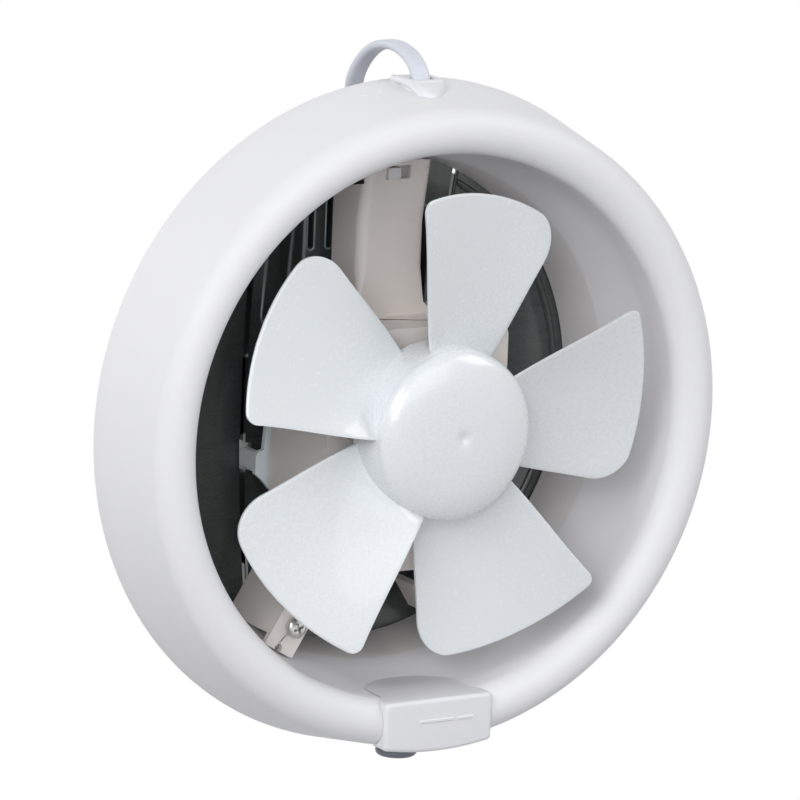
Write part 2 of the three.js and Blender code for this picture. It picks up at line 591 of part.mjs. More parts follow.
const SHAFT_FRONT_Y = HUB_FRONT_Y - 4.6;
const rotor = join(
  rod('y', ROTOR_RADIUS, CORE_FRONT_Y + 0.2, CORE_REAR_Y - 0.2, [0, 0], 36),
  rod('y', SHAFT_RADIUS, SHAFT_FRONT_Y, REAR_STRAP_Y + 4),
);
add('motor_rotor', rotor, 'lamination');

// ---------------------------------------------------------------------------------------------
// Impeller: five cambered blades on a hub, its nut and its domed cap
// ---------------------------------------------------------------------------------------------

// Where a blade's edges lie at a radius: angles in degrees, measured from +X towards +Z.
function bladeEdges(radius) {
  const t = (radius - HUB_RADIUS) / (TIP_RADIUS - HUB_RADIUS);
  const inner = (1 - t) ** 2;
  const lead = LEADING_ANGLE + 7 * inner;
  const span = TIP_SPAN + (ROOT_SPAN - TIP_SPAN) * inner;
  return { lead, trail: lead - span };
}

const LEAD_CORNER = 4;
const TRAIL_CORNER = 13;

// How far a rounded tip corner pulls an edge in at a radius, in millimetres along the arc.
function cornerInset(radius, corner) {
  const over = radius - (TIP_RADIUS - corner);
  return over <= 0 ? 0 : corner - Math.sqrt(Math.max(corner * corner - over * over, 0));
}

function bladeSolid() {
  const radii = [HUB_RADIUS - 2];
  for (const t of [0.25, 0.55, 0.8]) radii.push(THREE.MathUtils.lerp(HUB_RADIUS, TIP_RADIUS, t));
  for (const out of [TRAIL_CORNER * 0.5, LEAD_CORNER * 0.6, 1, 0]) {
    radii.push(TIP_RADIUS - out);
  }
  const CHORD_STEPS = 6;
  const surface = new THREE.BoxGeometry(1, 1, 1, CHORD_STEPS, radii.length - 1, 1);
  const place = surface.attributes.position;
  for (let i = 0; i < place.count; i += 1) {
    const row = Math.round((place.getY(i) + 0.5) * (radii.length - 1));
    const along = place.getX(i) + 0.5;
    const face = place.getZ(i);
    const radius = radii[row];
    const { lead, trail } = bladeEdges(radius);
    const leadInset = THREE.MathUtils.radToDeg(cornerInset(radius, LEAD_CORNER) / radius);
    const trailInset = THREE.MathUtils.radToDeg(cornerInset(radius, TRAIL_CORNER) / radius);
    const angle = THREE.MathUtils.lerp(lead - leadInset, trail + trailInset, along);
    const share = (lead - angle) / (lead - trail);
    const camber = 2.2 * 4 * share * (1 - share);
    const edgeThin = along === 0 || along === 1 || row === radii.length - 1 ? 0.55 : 1;
    const outward = THREE.MathUtils.clamp((radius - HUB_RADIUS) / (TIP_RADIUS - HUB_RADIUS), 0, 1);
    const leadY = THREE.MathUtils.lerp(LEADING_Y.root, LEADING_Y.tip, outward);
    const trailY = THREE.MathUtils.lerp(TRAILING_Y.root, TRAILING_Y.tip, outward);
    const y = THREE.MathUtils.lerp(leadY, trailY, share) + camber + face * BLADE_THICKNESS * edgeThin;
    place.setXYZ(i, radius * Math.cos(degrees(angle)), y, radius * Math.sin(degrees(angle)));
  }
  return solid(surface);
}

const HUB_STEPS = 32;
const HUB_WALL = 2;
const BORE_BOSS_RADIUS = 7;
const hubShell = revolve([
  [0, HUB_FRONT_Y],
  [HUB_RADIUS, HUB_FRONT_Y],
  [HUB_RADIUS, HUB_REAR_Y],
  [HUB_RADIUS - HUB_WALL, HUB_REAR_Y],
  [HUB_RADIUS - HUB_WALL, HUB_FRONT_Y + HUB_WALL],
  [BORE_BOSS_RADIUS, HUB_FRONT_Y + HUB_WALL],
  [BORE_BOSS_RADIUS, HUB_REAR_Y + 2],
  [0, HUB_REAR_Y + 2],
], HUB_STEPS);
const hubRib = block([BORE_BOSS_RADIUS - 1, HUB_FRONT_Y + 1, -0.9], [HUB_RADIUS - 1, HUB_REAR_Y - 3, 0.9]);
const hubCavity = revolve([[0, HUB_FRONT_Y + HUB_WALL], [HUB_RADIUS - HUB_WALL, HUB_FRONT_Y + HUB_WALL],
  [HUB_RADIUS - HUB_WALL, HUB_REAR_Y + 8], [0, HUB_REAR_Y + 8]], HUB_STEPS);
const blade = cut(bladeSolid(), hubCavity);
let impeller = hubShell;
for (let i = 0; i < BLADES; i += 1) {
  const turn = [0, i * 360 / BLADES, 0];
  impeller = join(impeller, blade.rotate(turn), hubRib.rotate(turn));
}
impeller = cut(impeller, rod('y', SHAFT_RADIUS + 0.1 + GAP / 2, HUB_FRONT_Y - 1, HUB_REAR_Y + 3));
add('impeller', impeller, 'impeller');

const NUT_HEIGHT = 2.6;
const NUT_FRONT_Y = HUB_FRONT_Y - GAP - NUT_HEIGHT;
const nut = cut(rod('y', 4.6, NUT_FRONT_Y, NUT_FRONT_Y + NUT_HEIGHT, [0, 0], 6),
  rod('y', SHAFT_RADIUS + GAP / 2, NUT_FRONT_Y - 1, NUT_FRONT_Y + NUT_HEIGHT + 1));
add('impeller_nut', nut, 'brass');

// Profile of the cap's dome at a share of its radius, rounded over at the rim.
const domeHeight = (share, height) => height * (1 - share ** 2.8) ** (1 / 2.2);

function capSurface(radius, height, base, steps) {
  const outline = [];
  for (let i = 0; i <= steps; i += 1) {
    const share = Math.sin((1 - i / steps) * Math.PI / 2);
    outline.push([radius * share, base - domeHeight(share, height)]);
  }
  outline[0] = [radius, base];
  outline[steps][0] = 0;
  return outline;
}

const CAP_BASE_Y = HUB_FRONT_Y - GAP;
const CAP_WALL = 1.8;
const capOutside = capSurface(HUB_RADIUS, CAP_HEIGHT, CAP_BASE_Y, 6);
const capInside = capSurface(HUB_RADIUS - CAP_WALL, CAP_HEIGHT - CAP_WALL, CAP_BASE_Y, 3).reverse();
const dimple = new THREE.SphereGeometry(3.4, 12, 6);
dimple.translate(0, CAP_BASE_Y - CAP_HEIGHT - 2.3, 0);
const cap = cut(revolve([...capInside, ...capOutside], HUB_STEPS), solid(dimple));
add('hub_cap', cap, 'impeller');

// ---------------------------------------------------------------------------------------------
// Shutter: a fixed middle panel and two leaves that swing out on its hinge pins
// ---------------------------------------------------------------------------------------------

const SEAT_Y = DUCT_END_Y + GAP;
const domeDepth = (radius) => SEAT_Y + (DUCT_END_RADIUS ** 2 - radius ** 2) / (2 * DOME_RADIUS);

// The whole closed shutter as one dished plate with a flat rim.
function shutterPlate() {
  const front = [];
  for (const radius of [0, 26, 52, 70]) front.push([radius, domeDepth(radius)]);
  front.push([DUCT_END_RADIUS, SEAT_Y], [SHUTTER_RIM_RADIUS, SEAT_Y]);
  const rear = [[SHUTTER_RIM_RADIUS, SEAT_Y + SHUTTER_SKIN]];
  rear.push([DUCT_END_RADIUS - 0.5, SEAT_Y + SHUTTER_SKIN]);
  for (const radius of [68, 45, 22, 0]) rear.push([radius, domeDepth(radius) + SHUTTER_SKIN]);
  return revolve([...front, ...rear], SHUTTER_STEPS);
}
const shutter = shutterPlate();

// Everything behind the middle of the shutter's skin, used to trim what stands on its back.
const behindSkin = (() => {
  const outline = [[0, 70], [SHUTTER_RIM_RADIUS, 70], [SHUTTER_RIM_RADIUS, SEAT_Y + 1]];
  for (const radius of [75, 45, 0]) outline.push([radius, domeDepth(radius) + 1]);
  return revolve(outline, 24);
})();

const LEAF_EDGE_X = PANEL_HALF_WIDTH + LEAF_GAP;
const HINGE_X = (PANEL_HALF_WIDTH + LEAF_EDGE_X) / 2;
const FINGER_Z = [-23.2, -16.2];
const leafKnuckles = [[-44, -26], [14, 44]];
const panelKnuckles = [[-56, -45], [-13, 13], [45, 56]];
const pinHole = rod('z', HINGE_PIN_RADIUS + GAP, -60, 60, [HINGE_X, HINGE_Y], 8);

// A hinge barrel with the web that ties it to the skin, between two heights.
function knuckle(from, to, webFromX, webToX) {
  const barrel = rod('z', HINGE_BARREL_RADIUS, from, to, [HINGE_X, HINGE_Y], 12);
  return join(barrel, keep(block([webFromX, 20, from], [webToX, HINGE_Y, to]), behindSkin));
}

const leaf = cut(join(
  keep(shutter, block([LEAF_EDGE_X, 0, -100], [100, 60, 100])),
  ...leafKnuckles.map(([a, b]) => knuckle(a, b, LEAF_EDGE_X, LEAF_EDGE_X + 2)),
), pinHole);
add('shutter_leaf_right', leaf, 'shutter');
add('shutter_leaf_left', mirrored(leaf), 'shutter');

const HINGE_PIN_END = 57.5;
const hingePin = rod('z', HINGE_PIN_RADIUS, -HINGE_PIN_END, HINGE_PIN_END, [0, 0], 10);
add('hinge_pin_right', hingePin, 'steel', [HINGE_X, HINGE_Y, 0]);
add('hinge_pin_left', hingePin, 'steel', [-HINGE_X, HINGE_Y, 0]);

// Rounded pockets pressed back into the panel, and the slotted guide block between them.
const POCKET_DEPTH = 4.5;
const POCKET_WALL = 1.5;
const pocketBack = domeDepth(36) + POCKET_DEPTH;
const pocketShape = (grow) => roundedRectangle(-31.4 - grow, 23 - grow, -22 + grow, 62 + grow, 4 + grow);
const pocketCup = keep(plate(pocketShape(POCKET_WALL), 20, pocketBack + POCKET_WALL, 4), behindSkin);
const pocketCut = plate(pocketShape(0), 10, pocketBack, 4);

const GUIDE_HALF_WIDTH = 20.5;
const GUIDE_FRONT_Y = 26.6;
const GUIDE_TOP = DUCT_END_RADIUS - 10.5;
const guideBlock = block([-GUIDE_HALF_WIDTH, GUIDE_FRONT_Y, 45], [GUIDE_HALF_WIDTH, domeDepth(50) + 1, GUIDE_TOP]);
const guideSlot = (x) => cut(plate(roundedRectangle(x - 1.4, 50, x + 1.4, GUIDE_TOP - 1.5, 1.3),
  GUIDE_FRONT_Y - 1, SEAT_Y + 9, 3), behindSkin);
const guideSlots = [-18, -11, 11, 18].map(guideSlot);

const POST = [24, -22];
const POST_RADIUS = 2.2;
const SLIDE_FRONT_Y = 22.5;
const SLIDE_THICKNESS = 2;
const guidePost = rod('y', POST_RADIUS, BOX_REAR_Y + 0.6, domeDepth(Math.hypot(...POST)) + 1, POST, 14);

const PANEL_SCREWS = [[-20, 1], [20, 1], [-20, -1], [20, -1]];
const panelScrewRadius = DUCT_END_RADIUS + 2.8;
const PANEL_SCREW_BODY = 1.5;
const panelScrewAt = ([x, side]) => [x, side * Math.sqrt(panelScrewRadius ** 2 - x ** 2)];
const panelScrewHoles = PANEL_SCREWS.map((spot) => rod('y', PANEL_SCREW_BODY + GAP, SEAT_Y - 9, SEAT_Y + 5,
  panelScrewAt(spot), 12));

let panel = keep(shutter, block([-PANEL_HALF_WIDTH, 0, -100], [PANEL_HALF_WIDTH, 60, 100]));
panel = join(panel, pocketCup, mirrored(pocketCup), guideBlock, guidePost, mirrored(guidePost));
for (const [from, to] of panelKnuckles) {
  const piece = knuckle(from, to, PANEL_HALF_WIDTH - 2, PANEL_HALF_WIDTH);
  panel = join(panel, piece, mirrored(piece));
}
const fingerNotch = block([33.2, 20, FINGER_Z[0] - 1], [LEAF_EDGE_X, 60, FINGER_Z[1] + 1]);
panel = cut(panel, pocketCut, mirrored(pocketCut), pinHole, mirrored(pinHole), fingerNotch,
  mirrored(fingerNotch), ...guideSlots, ...panelScrewHoles);
add('shutter_panel', panel, 'shutter');

add('rear_duct', cut(duct, ...clipHoles, ...panelScrewHoles), 'duct');

const panelScrew = panScrew(PANEL_SCREW_BODY, 2.9, 1.8, 8).rotate([-90, 0, 0]);
PANEL_SCREWS.forEach((spot, i) => {
  const [x, z] = panelScrewAt(spot);
  add(`panel_screw_${i + 1}`, panelScrew, 'steel', [x, SEAT_Y + SHUTTER_SKIN + GAP, z]);
});

// Slide that pushes the leaves open: a plate behind the motor, guided on the panel's posts, with a
// rounded finger at each side that reaches over the edge of a leaf.
function slidePlate() {
  const half = [
    [0, -36], [14, -36], [22, -31], [32.5, -29], [35.5, -25.5],
    [38.2, FINGER_Z[0]], [38.2, -17.2], [37.2, -15.8], [35.2, -15.2],
    [34.2, -3], [33, 4], [29, 8], [20, 8], [17, 4], [17, -12], [0, -14],
  ];
  const outline = [...half, ...half.slice(1, -1).reverse().map(([x, z]) => [-x, z])];
  const body = plate(outline, SLIDE_FRONT_Y, SLIDE_FRONT_Y + SLIDE_THICKNESS);
  const finger = keep(
    plate(roundedRectangle(34.2, FINGER_Z[0], 38.2, FINGER_Z[1], 1.5), SLIDE_FRONT_Y, domeDepth(42) - 1, 3),
    block([30, 0, -40], [50, 50, 0]),
  );
  const postHole = rod('y', POST_RADIUS + GAP, SLIDE_FRONT_Y - 1, SLIDE_FRONT_Y + 5, POST, 14);
  return cut(join(body, finger, mirrored(finger)), postHole, mirrored(postHole));
}
add('shutter_slide', slidePlate(), 'slide');

// ---------------------------------------------------------------------------------------------
// Control block over the lip, the cord switch in the hollow behind it, the pull cord and its knob
// ---------------------------------------------------------------------------------------------

// A body of revolution that fills the housing's section and stands off its skin by a clearance.
function housingFilled(clearance) {
  const outline = housingSurface(-clearance, 7, 3);
  return revolve([...outline.slice(0, -1), [bellRadius(SEAM_Y) - clearance, SEAM_Y + 20],
    [SKIRT_REAR_RADIUS + clearance, SEAM_Y + 20]]);
}

const blockProfile = keep(
  block([-BLOCK_HALF_WIDTH, BLOCK_FRONT_Y, -LIP_RADIUS - 5], [BLOCK_HALF_WIDTH, SEAM_Y, BLOCK_TOP]),
  rod('y', LIP_RADIUS + 0.6, -60, 20, [0, 0], 120),
);
const dashBar = (x0, x1) => block([x0, BLOCK_FRONT_Y - 0.5, -96.2], [x1, BLOCK_FRONT_Y + 0.5, -95.4]);
const controlBlock = join(cut(blockProfile, housingFilled(GAP)), dashBar(-7.5, 5.5), dashBar(7, 13));
add('control_block', controlBlock, 'milky');

const switchTop = -BELL_RADIUS - HOUSING_WALL - GAP;
const switchBottom = switchTop - 8.8;
const switchBody = cut(
  block([-12, -26, switchBottom], [12, CORD_Y + 5, switchTop + 4]),
  rod('y', -switchTop, -30, 0, [0, 0], ROUND_STEPS),
  rod('z', PULL_CORD_RADIUS + GAP, switchBottom - 1, switchTop - 1, [0, CORD_Y]),
);
add('cord_switch', switchBody, 'darkGrey');

const knobTop = -skirtRadius(CORD_Y + KNOB_RADIUS) - GAP;
const knobProfile = [
  new THREE.Vector2(0, knobTop - KNOB_HEIGHT),
  new THREE.Vector2(KNOB_RADIUS * 0.72, knobTop - KNOB_HEIGHT),
  new THREE.Vector2(KNOB_RADIUS, knobTop - KNOB_HEIGHT * 0.55),
  new THREE.Vector2(KNOB_RADIUS, knobTop - 0.4),
  new THREE.Vector2(KNOB_RADIUS - 0.6, knobTop),
  new THREE.Vector2(0, knobTop),
];
const knobGeometry = new THREE.LatheGeometry(knobProfile, 20);
knobGeometry.rotateX(Math.PI / 2);
knobGeometry.translate(0, CORD_Y, 0);
const pullCord = rod('z', PULL_CORD_RADIUS, knobTop - 1, switchTop - 1.5, [0, CORD_Y], 10);
add('pull_knob', join(solid(knobGeometry), pullCord), 'darkGrey');

// ---------------------------------------------------------------------------------------------
// Mains lead: clamp, free stretch, coil, tail, plug
// ---------------------------------------------------------------------------------------------

const CLAMP_HEIGHT = 3.4;
const clampTop = leadExitZ + CLAMP_HEIGHT;
const clampOutline = new THREE.Shape();
clampOutline.absellipse(1, CORD_Y, 9.9, 8.4, 0, 2 * Math.PI);
const clampGeometry = new THREE.ExtrudeGeometry(clampOutline, {
  depth: 8, bevelEnabled: true, bevelThickness: 1.6, bevelSize: 1.6, bevelSegments: 2, curveSegments: 12,
});
clampGeometry.translate(0, 0, clampTop - 9.6);
const clamp = cut(solid(clampGeometry), housingFilled(GAP), leadSlot, leadSlot.translate([0, 1.8, 0]));
add('lead_clamp', clamp, 'milky');

// Cross-section of the flex: a flat oval with eight corners.
function flexSection() {
  const [a, b] = [FLEX_WIDTH / 2, FLEX_THICKNESS / 2];
  return polygon([[-a, -0.4 * b], [-0.72 * a, -b], [0.72 * a, -b], [a, -0.4 * b],
    [a, 0.4 * b], [0.72 * a, b], [-0.72 * a, b], [-a, 0.4 * b]]);
}

// The flex swept along a route: each stop is [x, y, z] and the direction of the flex's wide side.
function sweepFlex(stops, steps) {
  const curve = new THREE.CatmullRomCurve3(stops.map((s) => new THREE.Vector3(s[0], s[1], s[2])),
    false, 'centripetal');
  const lengths = curve.getLengths((stops.length - 1) * 40);
  const total = lengths[lengths.length - 1];
  const stopShare = stops.map((s, i) => lengths[i * (lengths.length - 1) / (stops.length - 1)] / total);
  const wideAt = (share) => {
    let i = 0;
    while (i < stops.length - 2 && share > stopShare[i + 1]) i += 1;
    const t = THREE.MathUtils.smoothstep(share, stopShare[i], stopShare[i + 1]);
    const from = new THREE.Vector3(stops[i][3], stops[i][4], stops[i][5]);
    return from.lerp(new THREE.Vector3(stops[i + 1][3], stops[i + 1][4], stops[i + 1][5]), t);
  };
  const geometry = new THREE.ExtrudeGeometry(flexSection(), { depth: 1, steps, bevelEnabled: false });
  const place = geometry.attributes.position;
  for (let i = 0; i < place.count; i += 1) {
    const share = place.getZ(i);
    const tangent = curve.getTangentAt(share);
    const wide = wideAt(share);
    wide.addScaledVector(tangent, -wide.dot(tangent)).normalize();
    const thin = new THREE.Vector3().crossVectors(tangent, wide);
    const point = curve.getPointAt(share).addScaledVector(wide, place.getX(i)).addScaledVector(thin, place.getY(i));
    place.setXYZ(i, point.x, point.y, point.z);
  }
  console.log(`free stretch of flex: ${total.toFixed(0)} mm`);
  return solid(geometry);
}

const COIL_CENTRE = [DUCT_OUTSIDE_RADIUS + 5.6, 52, -42];
const COIL_INNER_RADIUS = 28;
const COIL_PITCH = 3.9;
const COIL_START = 30;
const COIL_TURNS = 4 + COIL_START / 360;
const REST_RADIUS = DUCT_OUTSIDE_RADIUS + FLEX_THICKNESS / 2 + GAP + 0.2;

// Point on the coil after a number of turns from its inner end.
function coilPoint(turns) {
  const angle = degrees(COIL_START - 360 * turns);
  const radius = COIL_INNER_RADIUS + COIL_PITCH * turns;
  return [COIL_CENTRE[0], COIL_CENTRE[1] + radius * Math.cos(angle), COIL_CENTRE[2] + radius * Math.sin(angle)];
}

// Lead lying on the outside of the duct at an angle above the horizontal.
function onDuct(angle, y) {
  const a = degrees(angle);
  return [REST_RADIUS * Math.cos(a), y, REST_RADIUS * Math.sin(a), 0, 1, 0];
}

// Points on the tangent at the coil's inner end, a distance ahead of it.
const coilStart = coilPoint(0);
const beforeCoil = (distance) => [coilStart[0],
  coilStart[1] - distance * Math.sin(degrees(COIL_START)),
  coilStart[2] + distance * Math.cos(degrees(COIL_START)), 1, 0, 0];

// The loop over the top of the housing, read off the picture on the plane X = 0: y and the height
// above the skirt's rear edge.
const LOOP = [
  [-10.9, -3.2], [-10.2, -0.4], [-8, 3.5], [-3.7, 6.8], [5.3, 9.2],
  [16, 8.1], [24, 4.1], [30.8, -2.9],
];

// A stop beside the duct, at a distance outside it.
const beside = (out, ...rest) => [DUCT_OUTSIDE_RADIUS + out, ...rest];
// A stop on the top of the duct, at a height against the skirt's rear edge.
const above = (x, y, up, ...wide) => [x, y, SKIRT_REAR_RADIUS + up, ...wide];

const leadStops = [
  [0, CORD_Y, leadExitZ - HOUSING_WALL - 3, 1, 0, 0],
  ...LOOP.map(([y, up]) => above(0, y, up, 1, 0, 0)),
  above(0.8, 34.2, -8.8, 1, 0, 0),
  above(4.2, 36, -15, 0.9, 0.2, 0.3),
  above(10.6, 35.6, -19.2, 0.45, 0.7, 0.35),
  above(20, 32.4, -21.6, 0.2, 0.95, 0),
  above(31, 27.4, -23, 0, 1, 0),
  onDuct(60, 23.5),
  onDuct(47, 20.5),
  onDuct(33, 19.5),
  onDuct(21, 19.5),
  beside(1.6, 20.3, 19.5, 0, 1, 0),
  beside(4.8, 22.6, 11, 0, 1, 0.1),
  beside(9.3, 26.8, 2.8, 0, 0.9, 0.4),
  beside(11.3, 31.8, -4.8, 0, 0.8, 0.6),
  beside(11.3, 38.5, -10.8, 0.1, 0.6, 0.8),
  beside(10.7, 45.8, -15.5, 0.4, 0.4, 0.8),
  beside(8.6, 55, -18.8, 0.85, 0, 0.4),
  beside(6.2, 64.2, -20.8, 1, 0, 0),
  [coilStart[0], 70.6, -22.6, 1, 0, 0],
  [coilStart[0], 74.4, -25.3, 1, 0, 0],
  beforeCoil(GAP),
];
add('mains_lead', sweepFlex(leadStops, 64), 'flex');

// The put-away length, wound flat in one spiral with its wide side across the coil.
function coilSolid() {
  const steps = Math.round(COIL_TURNS * 24);
  const [a, b] = [FLEX_WIDTH / 2, FLEX_THICKNESS / 2];
  const section = [[-a, 0], [-0.75 * a, -b], [0.75 * a, -b], [a, 0], [0.75 * a, b], [-0.75 * a, b]];
  const points = [];
  const faces = [];
  for (let i = 0; i <= steps; i += 1) {
    const turns = COIL_TURNS * i / steps;
    const angle = degrees(COIL_START - 360 * turns);
    const radius = COIL_INNER_RADIUS + COIL_PITCH * turns;
    for (const [wide, thin] of section) {
      points.push(COIL_CENTRE[0] + wide, COIL_CENTRE[1] + (radius + thin) * Math.cos(angle),
        COIL_CENTRE[2] + (radius + thin) * Math.sin(angle));
    }
  }
  const count = section.length;
  for (let i = 0; i < steps; i += 1) {
    for (let k = 0; k < count; k += 1) {
      const [p, q] = [i * count + k, i * count + (k + 1) % count];
      faces.push(p, q, q + count, p, q + count, p + count);
    }
  }
  for (let k = 1; k < count - 1; k += 1) {
    faces.push(0, k + 1, k);
    faces.push(steps * count, steps * count + k, steps * count + k + 1);
  }
  const geometry = new THREE.BufferGeometry();
  geometry.setAttribute('position', new THREE.Float32BufferAttribute(points, 3));
  geometry.setIndex(faces);
  let length = 0;
  for (let i = 0; i < steps; i += 1) {
    const from = new THREE.Vector3(...coilPoint(COIL_TURNS * i / steps));
    length += from.distanceTo(new THREE.Vector3(...coilPoint(COIL_TURNS * (i + 1) / steps)));
  }
  console.log(`coil: ${length.toFixed(0)} mm, least gap ${leastCoilGap(points, count, steps).toFixed(2)} mm`);
  return solid(geometry);
}

// Least distance between points of the coil that lie in different turns.
function leastCoilGap(points, count, steps) {
  let least = Infinity;
  const apart = count * 20;
  for (let i = 0; i <= steps * count; i += 1) {
    for (let j = i + apart; j < points.length / 3; j += 1) {
      least = Math.min(least, Math.hypot(points[3 * i] - points[3 * j], points[3 * i + 1] - points[3 * j + 1],
        points[3 * i + 2] - points[3 * j + 2]));
    }
  }
  return least;
}
add('lead_coil', coilSolid(), 'flex');

const outerRadius = COIL_INNER_RADIUS + COIL_PITCH * COIL_TURNS;
const coilEndY = COIL_CENTRE[1] + outerRadius;
const coilEndZ = COIL_CENTRE[2];
const TAIL_LENGTH = 15;
const tailStop = (drop) => [COIL_CENTRE[0], coilEndY, coilEndZ - GAP - drop, 1, 0, 0];
add('lead_tail', sweepFlex([tailStop(0), tailStop(TAIL_LENGTH / 2), tailStop(TAIL_LENGTH)], 3), 'flex');

// Strap tie round the bundle of turns, on the front side of the coil.
const TIE_WALL = 1;
const TIE_WIDTH = 5;
const tieTurn = (COIL_START + 180) / 360;
const tieSpan = [coilPoint(tieTurn)[1], coilPoint(tieTurn + 3)[1]];
const tieCentreY = (tieSpan[0] + tieSpan[1]) / 2;
const tieInnerHalf = (tieSpan[0] - tieSpan[1] + FLEX_THICKNESS) / 2 + 0.8;
const tie = cut(
  block([COIL_CENTRE[0] - FLEX_WIDTH / 2 - GAP - TIE_WALL, tieCentreY - tieInnerHalf - TIE_WALL,
    COIL_CENTRE[2] - TIE_WIDTH / 2],
  [COIL_CENTRE[0] + FLEX_WIDTH / 2 + GAP + TIE_WALL, tieCentreY + tieInnerHalf + TIE_WALL,
    COIL_CENTRE[2] + TIE_WIDTH / 2]),
  block([COIL_CENTRE[0] - FLEX_WIDTH / 2 - GAP, tieCentreY - tieInnerHalf, COIL_CENTRE[2] - TIE_WIDTH],
    [COIL_CENTRE[0] + FLEX_WIDTH / 2 + GAP, tieCentreY + tieInnerHalf, COIL_CENTRE[2] + TIE_WIDTH]),
);
add('lead_tie', tie, 'darkGrey');

// Two-pin plug that hangs from the tail, wide side across X.
const [PLUG_Y, PLUG_TOP] = [coilEndY, coilEndZ - TAIL_LENGTH - 2 * GAP];
const PLUG_LENGTH = 33;
const PLUG_HALF = [13, 6.7];
const plugSections = [
  [PLUG_TOP, 0.38], [PLUG_TOP - 8, 0.52], [PLUG_TOP - 14, 0.92], [PLUG_TOP - 20, 1],
  [PLUG_TOP - PLUG_LENGTH + 1, 1], [PLUG_TOP - PLUG_LENGTH, 0.94],
];

// A solid lofted through rounded oblong sections stacked along Z.
function loftPlug() {
  const corners = [];
  const SIDES = 16;
  for (let k = 0; k < SIDES; k += 1) {
    const a = 2 * Math.PI * (k + 0.5) / SIDES;
    const bulge = (v) => Math.sign(v) * Math.abs(v) ** 0.55;
    corners.push([bulge(Math.cos(a)), bulge(Math.sin(a))]);
  }
  const points = [];
  const faces = [];
  for (const [z, share] of plugSections) {
    const thick = 0.55 + 0.45 * share;
    for (const [u, v] of corners) {
      points.push(COIL_CENTRE[0] + u * PLUG_HALF[0] * share, PLUG_Y + v * PLUG_HALF[1] * thick, z);
    }
  }
  for (let s = 0; s < plugSections.length - 1; s += 1) {
    for (let k = 0; k < SIDES; k += 1) {
      const [p, q] = [s * SIDES + k, s * SIDES + (k + 1) % SIDES];
      faces.push(p, q, q + SIDES, p, q + SIDES, p + SIDES);
    }
  }
  const last = (plugSections.length - 1) * SIDES;
  for (let k = 1; k < SIDES - 1; k += 1) faces.push(0, k + 1, k, last, last + k, last + k + 1);
  const geometry = new THREE.BufferGeometry();
  geometry.setAttribute('position', new THREE.Float32BufferAttribute(points, 3));
  geometry.setIndex(faces);
  return solid(geometry);
}
add('plug_body', loftPlug(), 'flex');

const PIN_RADIUS = 2;
const PIN_LENGTH = 19;
const PIN_SPACING = 19;
for (const [side, sign] of [['near', -1], ['far', 1]]) {
  const pinGeometry = new THREE.CapsuleGeometry(PIN_RADIUS, PIN_LENGTH - 2 * PIN_RADIUS, 3, 10);
  pinGeometry.rotateX(Math.PI / 2);
  add(`plug_pin_${side}`, solid(pinGeometry), 'steel',
    [COIL_CENTRE[0] + sign * PIN_SPACING / 2, PLUG_Y, PLUG_TOP - PLUG_LENGTH - GAP - PIN_LENGTH / 2]);
}

export default fan;
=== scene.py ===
"""Looks of a window exhaust fan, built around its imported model.

Every length in the classes below is in millimetres, as on a drawing, and becomes metres when a mesh
is made, except where a class says metres. The origin lies on the fan's axis in the plane of the
window glass, the air leaves towards +Y, +X is to the right and +Z up for someone who faces the fan.
"""

import logging
import math
from dataclasses import dataclass, field
from enum import Enum
from typing import Callable, Sequence

import bmesh
import bpy
from mathutils import Matrix, Vector


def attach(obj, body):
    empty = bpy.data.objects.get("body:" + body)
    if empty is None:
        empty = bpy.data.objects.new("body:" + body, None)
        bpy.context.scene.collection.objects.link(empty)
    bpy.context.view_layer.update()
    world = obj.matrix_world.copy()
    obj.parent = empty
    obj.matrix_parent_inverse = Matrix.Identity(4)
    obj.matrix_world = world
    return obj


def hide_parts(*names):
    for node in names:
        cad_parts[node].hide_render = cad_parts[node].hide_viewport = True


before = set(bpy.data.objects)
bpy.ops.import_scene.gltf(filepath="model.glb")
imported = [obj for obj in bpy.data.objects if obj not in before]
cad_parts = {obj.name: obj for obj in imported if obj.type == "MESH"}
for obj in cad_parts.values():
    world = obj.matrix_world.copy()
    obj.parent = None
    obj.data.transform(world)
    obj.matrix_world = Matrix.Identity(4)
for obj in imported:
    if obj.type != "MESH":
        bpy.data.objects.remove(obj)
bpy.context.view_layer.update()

MM = 0.001
SMOOTH_ANGLE = math.radians(32)
NORMAL_WEIGHT = 60
MERGE_DISTANCE = 0.004
POLE = 1e-6
FULL_TURN = 2 * math.pi
QUARTER_TURN = math.pi / 2
Y_TO_Z = Matrix.Rotation(QUARTER_TURN, 4, "X")
Z_TO_Y = Matrix.Rotation(-QUARTER_TURN, 4, "X")

Point = tuple[float, float, float]
Flat = tuple[float, float]
Outline = list[Flat]
Corners = tuple[Flat, ...]
Colour = tuple[float, float, float]

logging.basicConfig(level=logging.INFO, format="%(message)s")
log = logging.getLogger("fan")


# ---- Meshes ----


class Axis(Enum):
    """Directions that a rod can point along, as the place of the coordinate in a point."""

    X = 0
    Y = 1
    Z = 2


class Cut(Enum):
    """What a cutter does to the solid that it meets."""

    AWAY = "DIFFERENCE"
    JOIN = "UNION"
    COMMON = "INTERSECT"


def linked(name: str, data: bpy.types.ID) -> bpy.types.Object:
    """Puts a new object in the scene.

    Args:
        name: its name.
        data: its mesh, light or camera.

    Returns:
        The object.
    """
    obj = bpy.data.objects.new(name, data)
    bpy.context.scene.collection.objects.link(obj)
    return obj


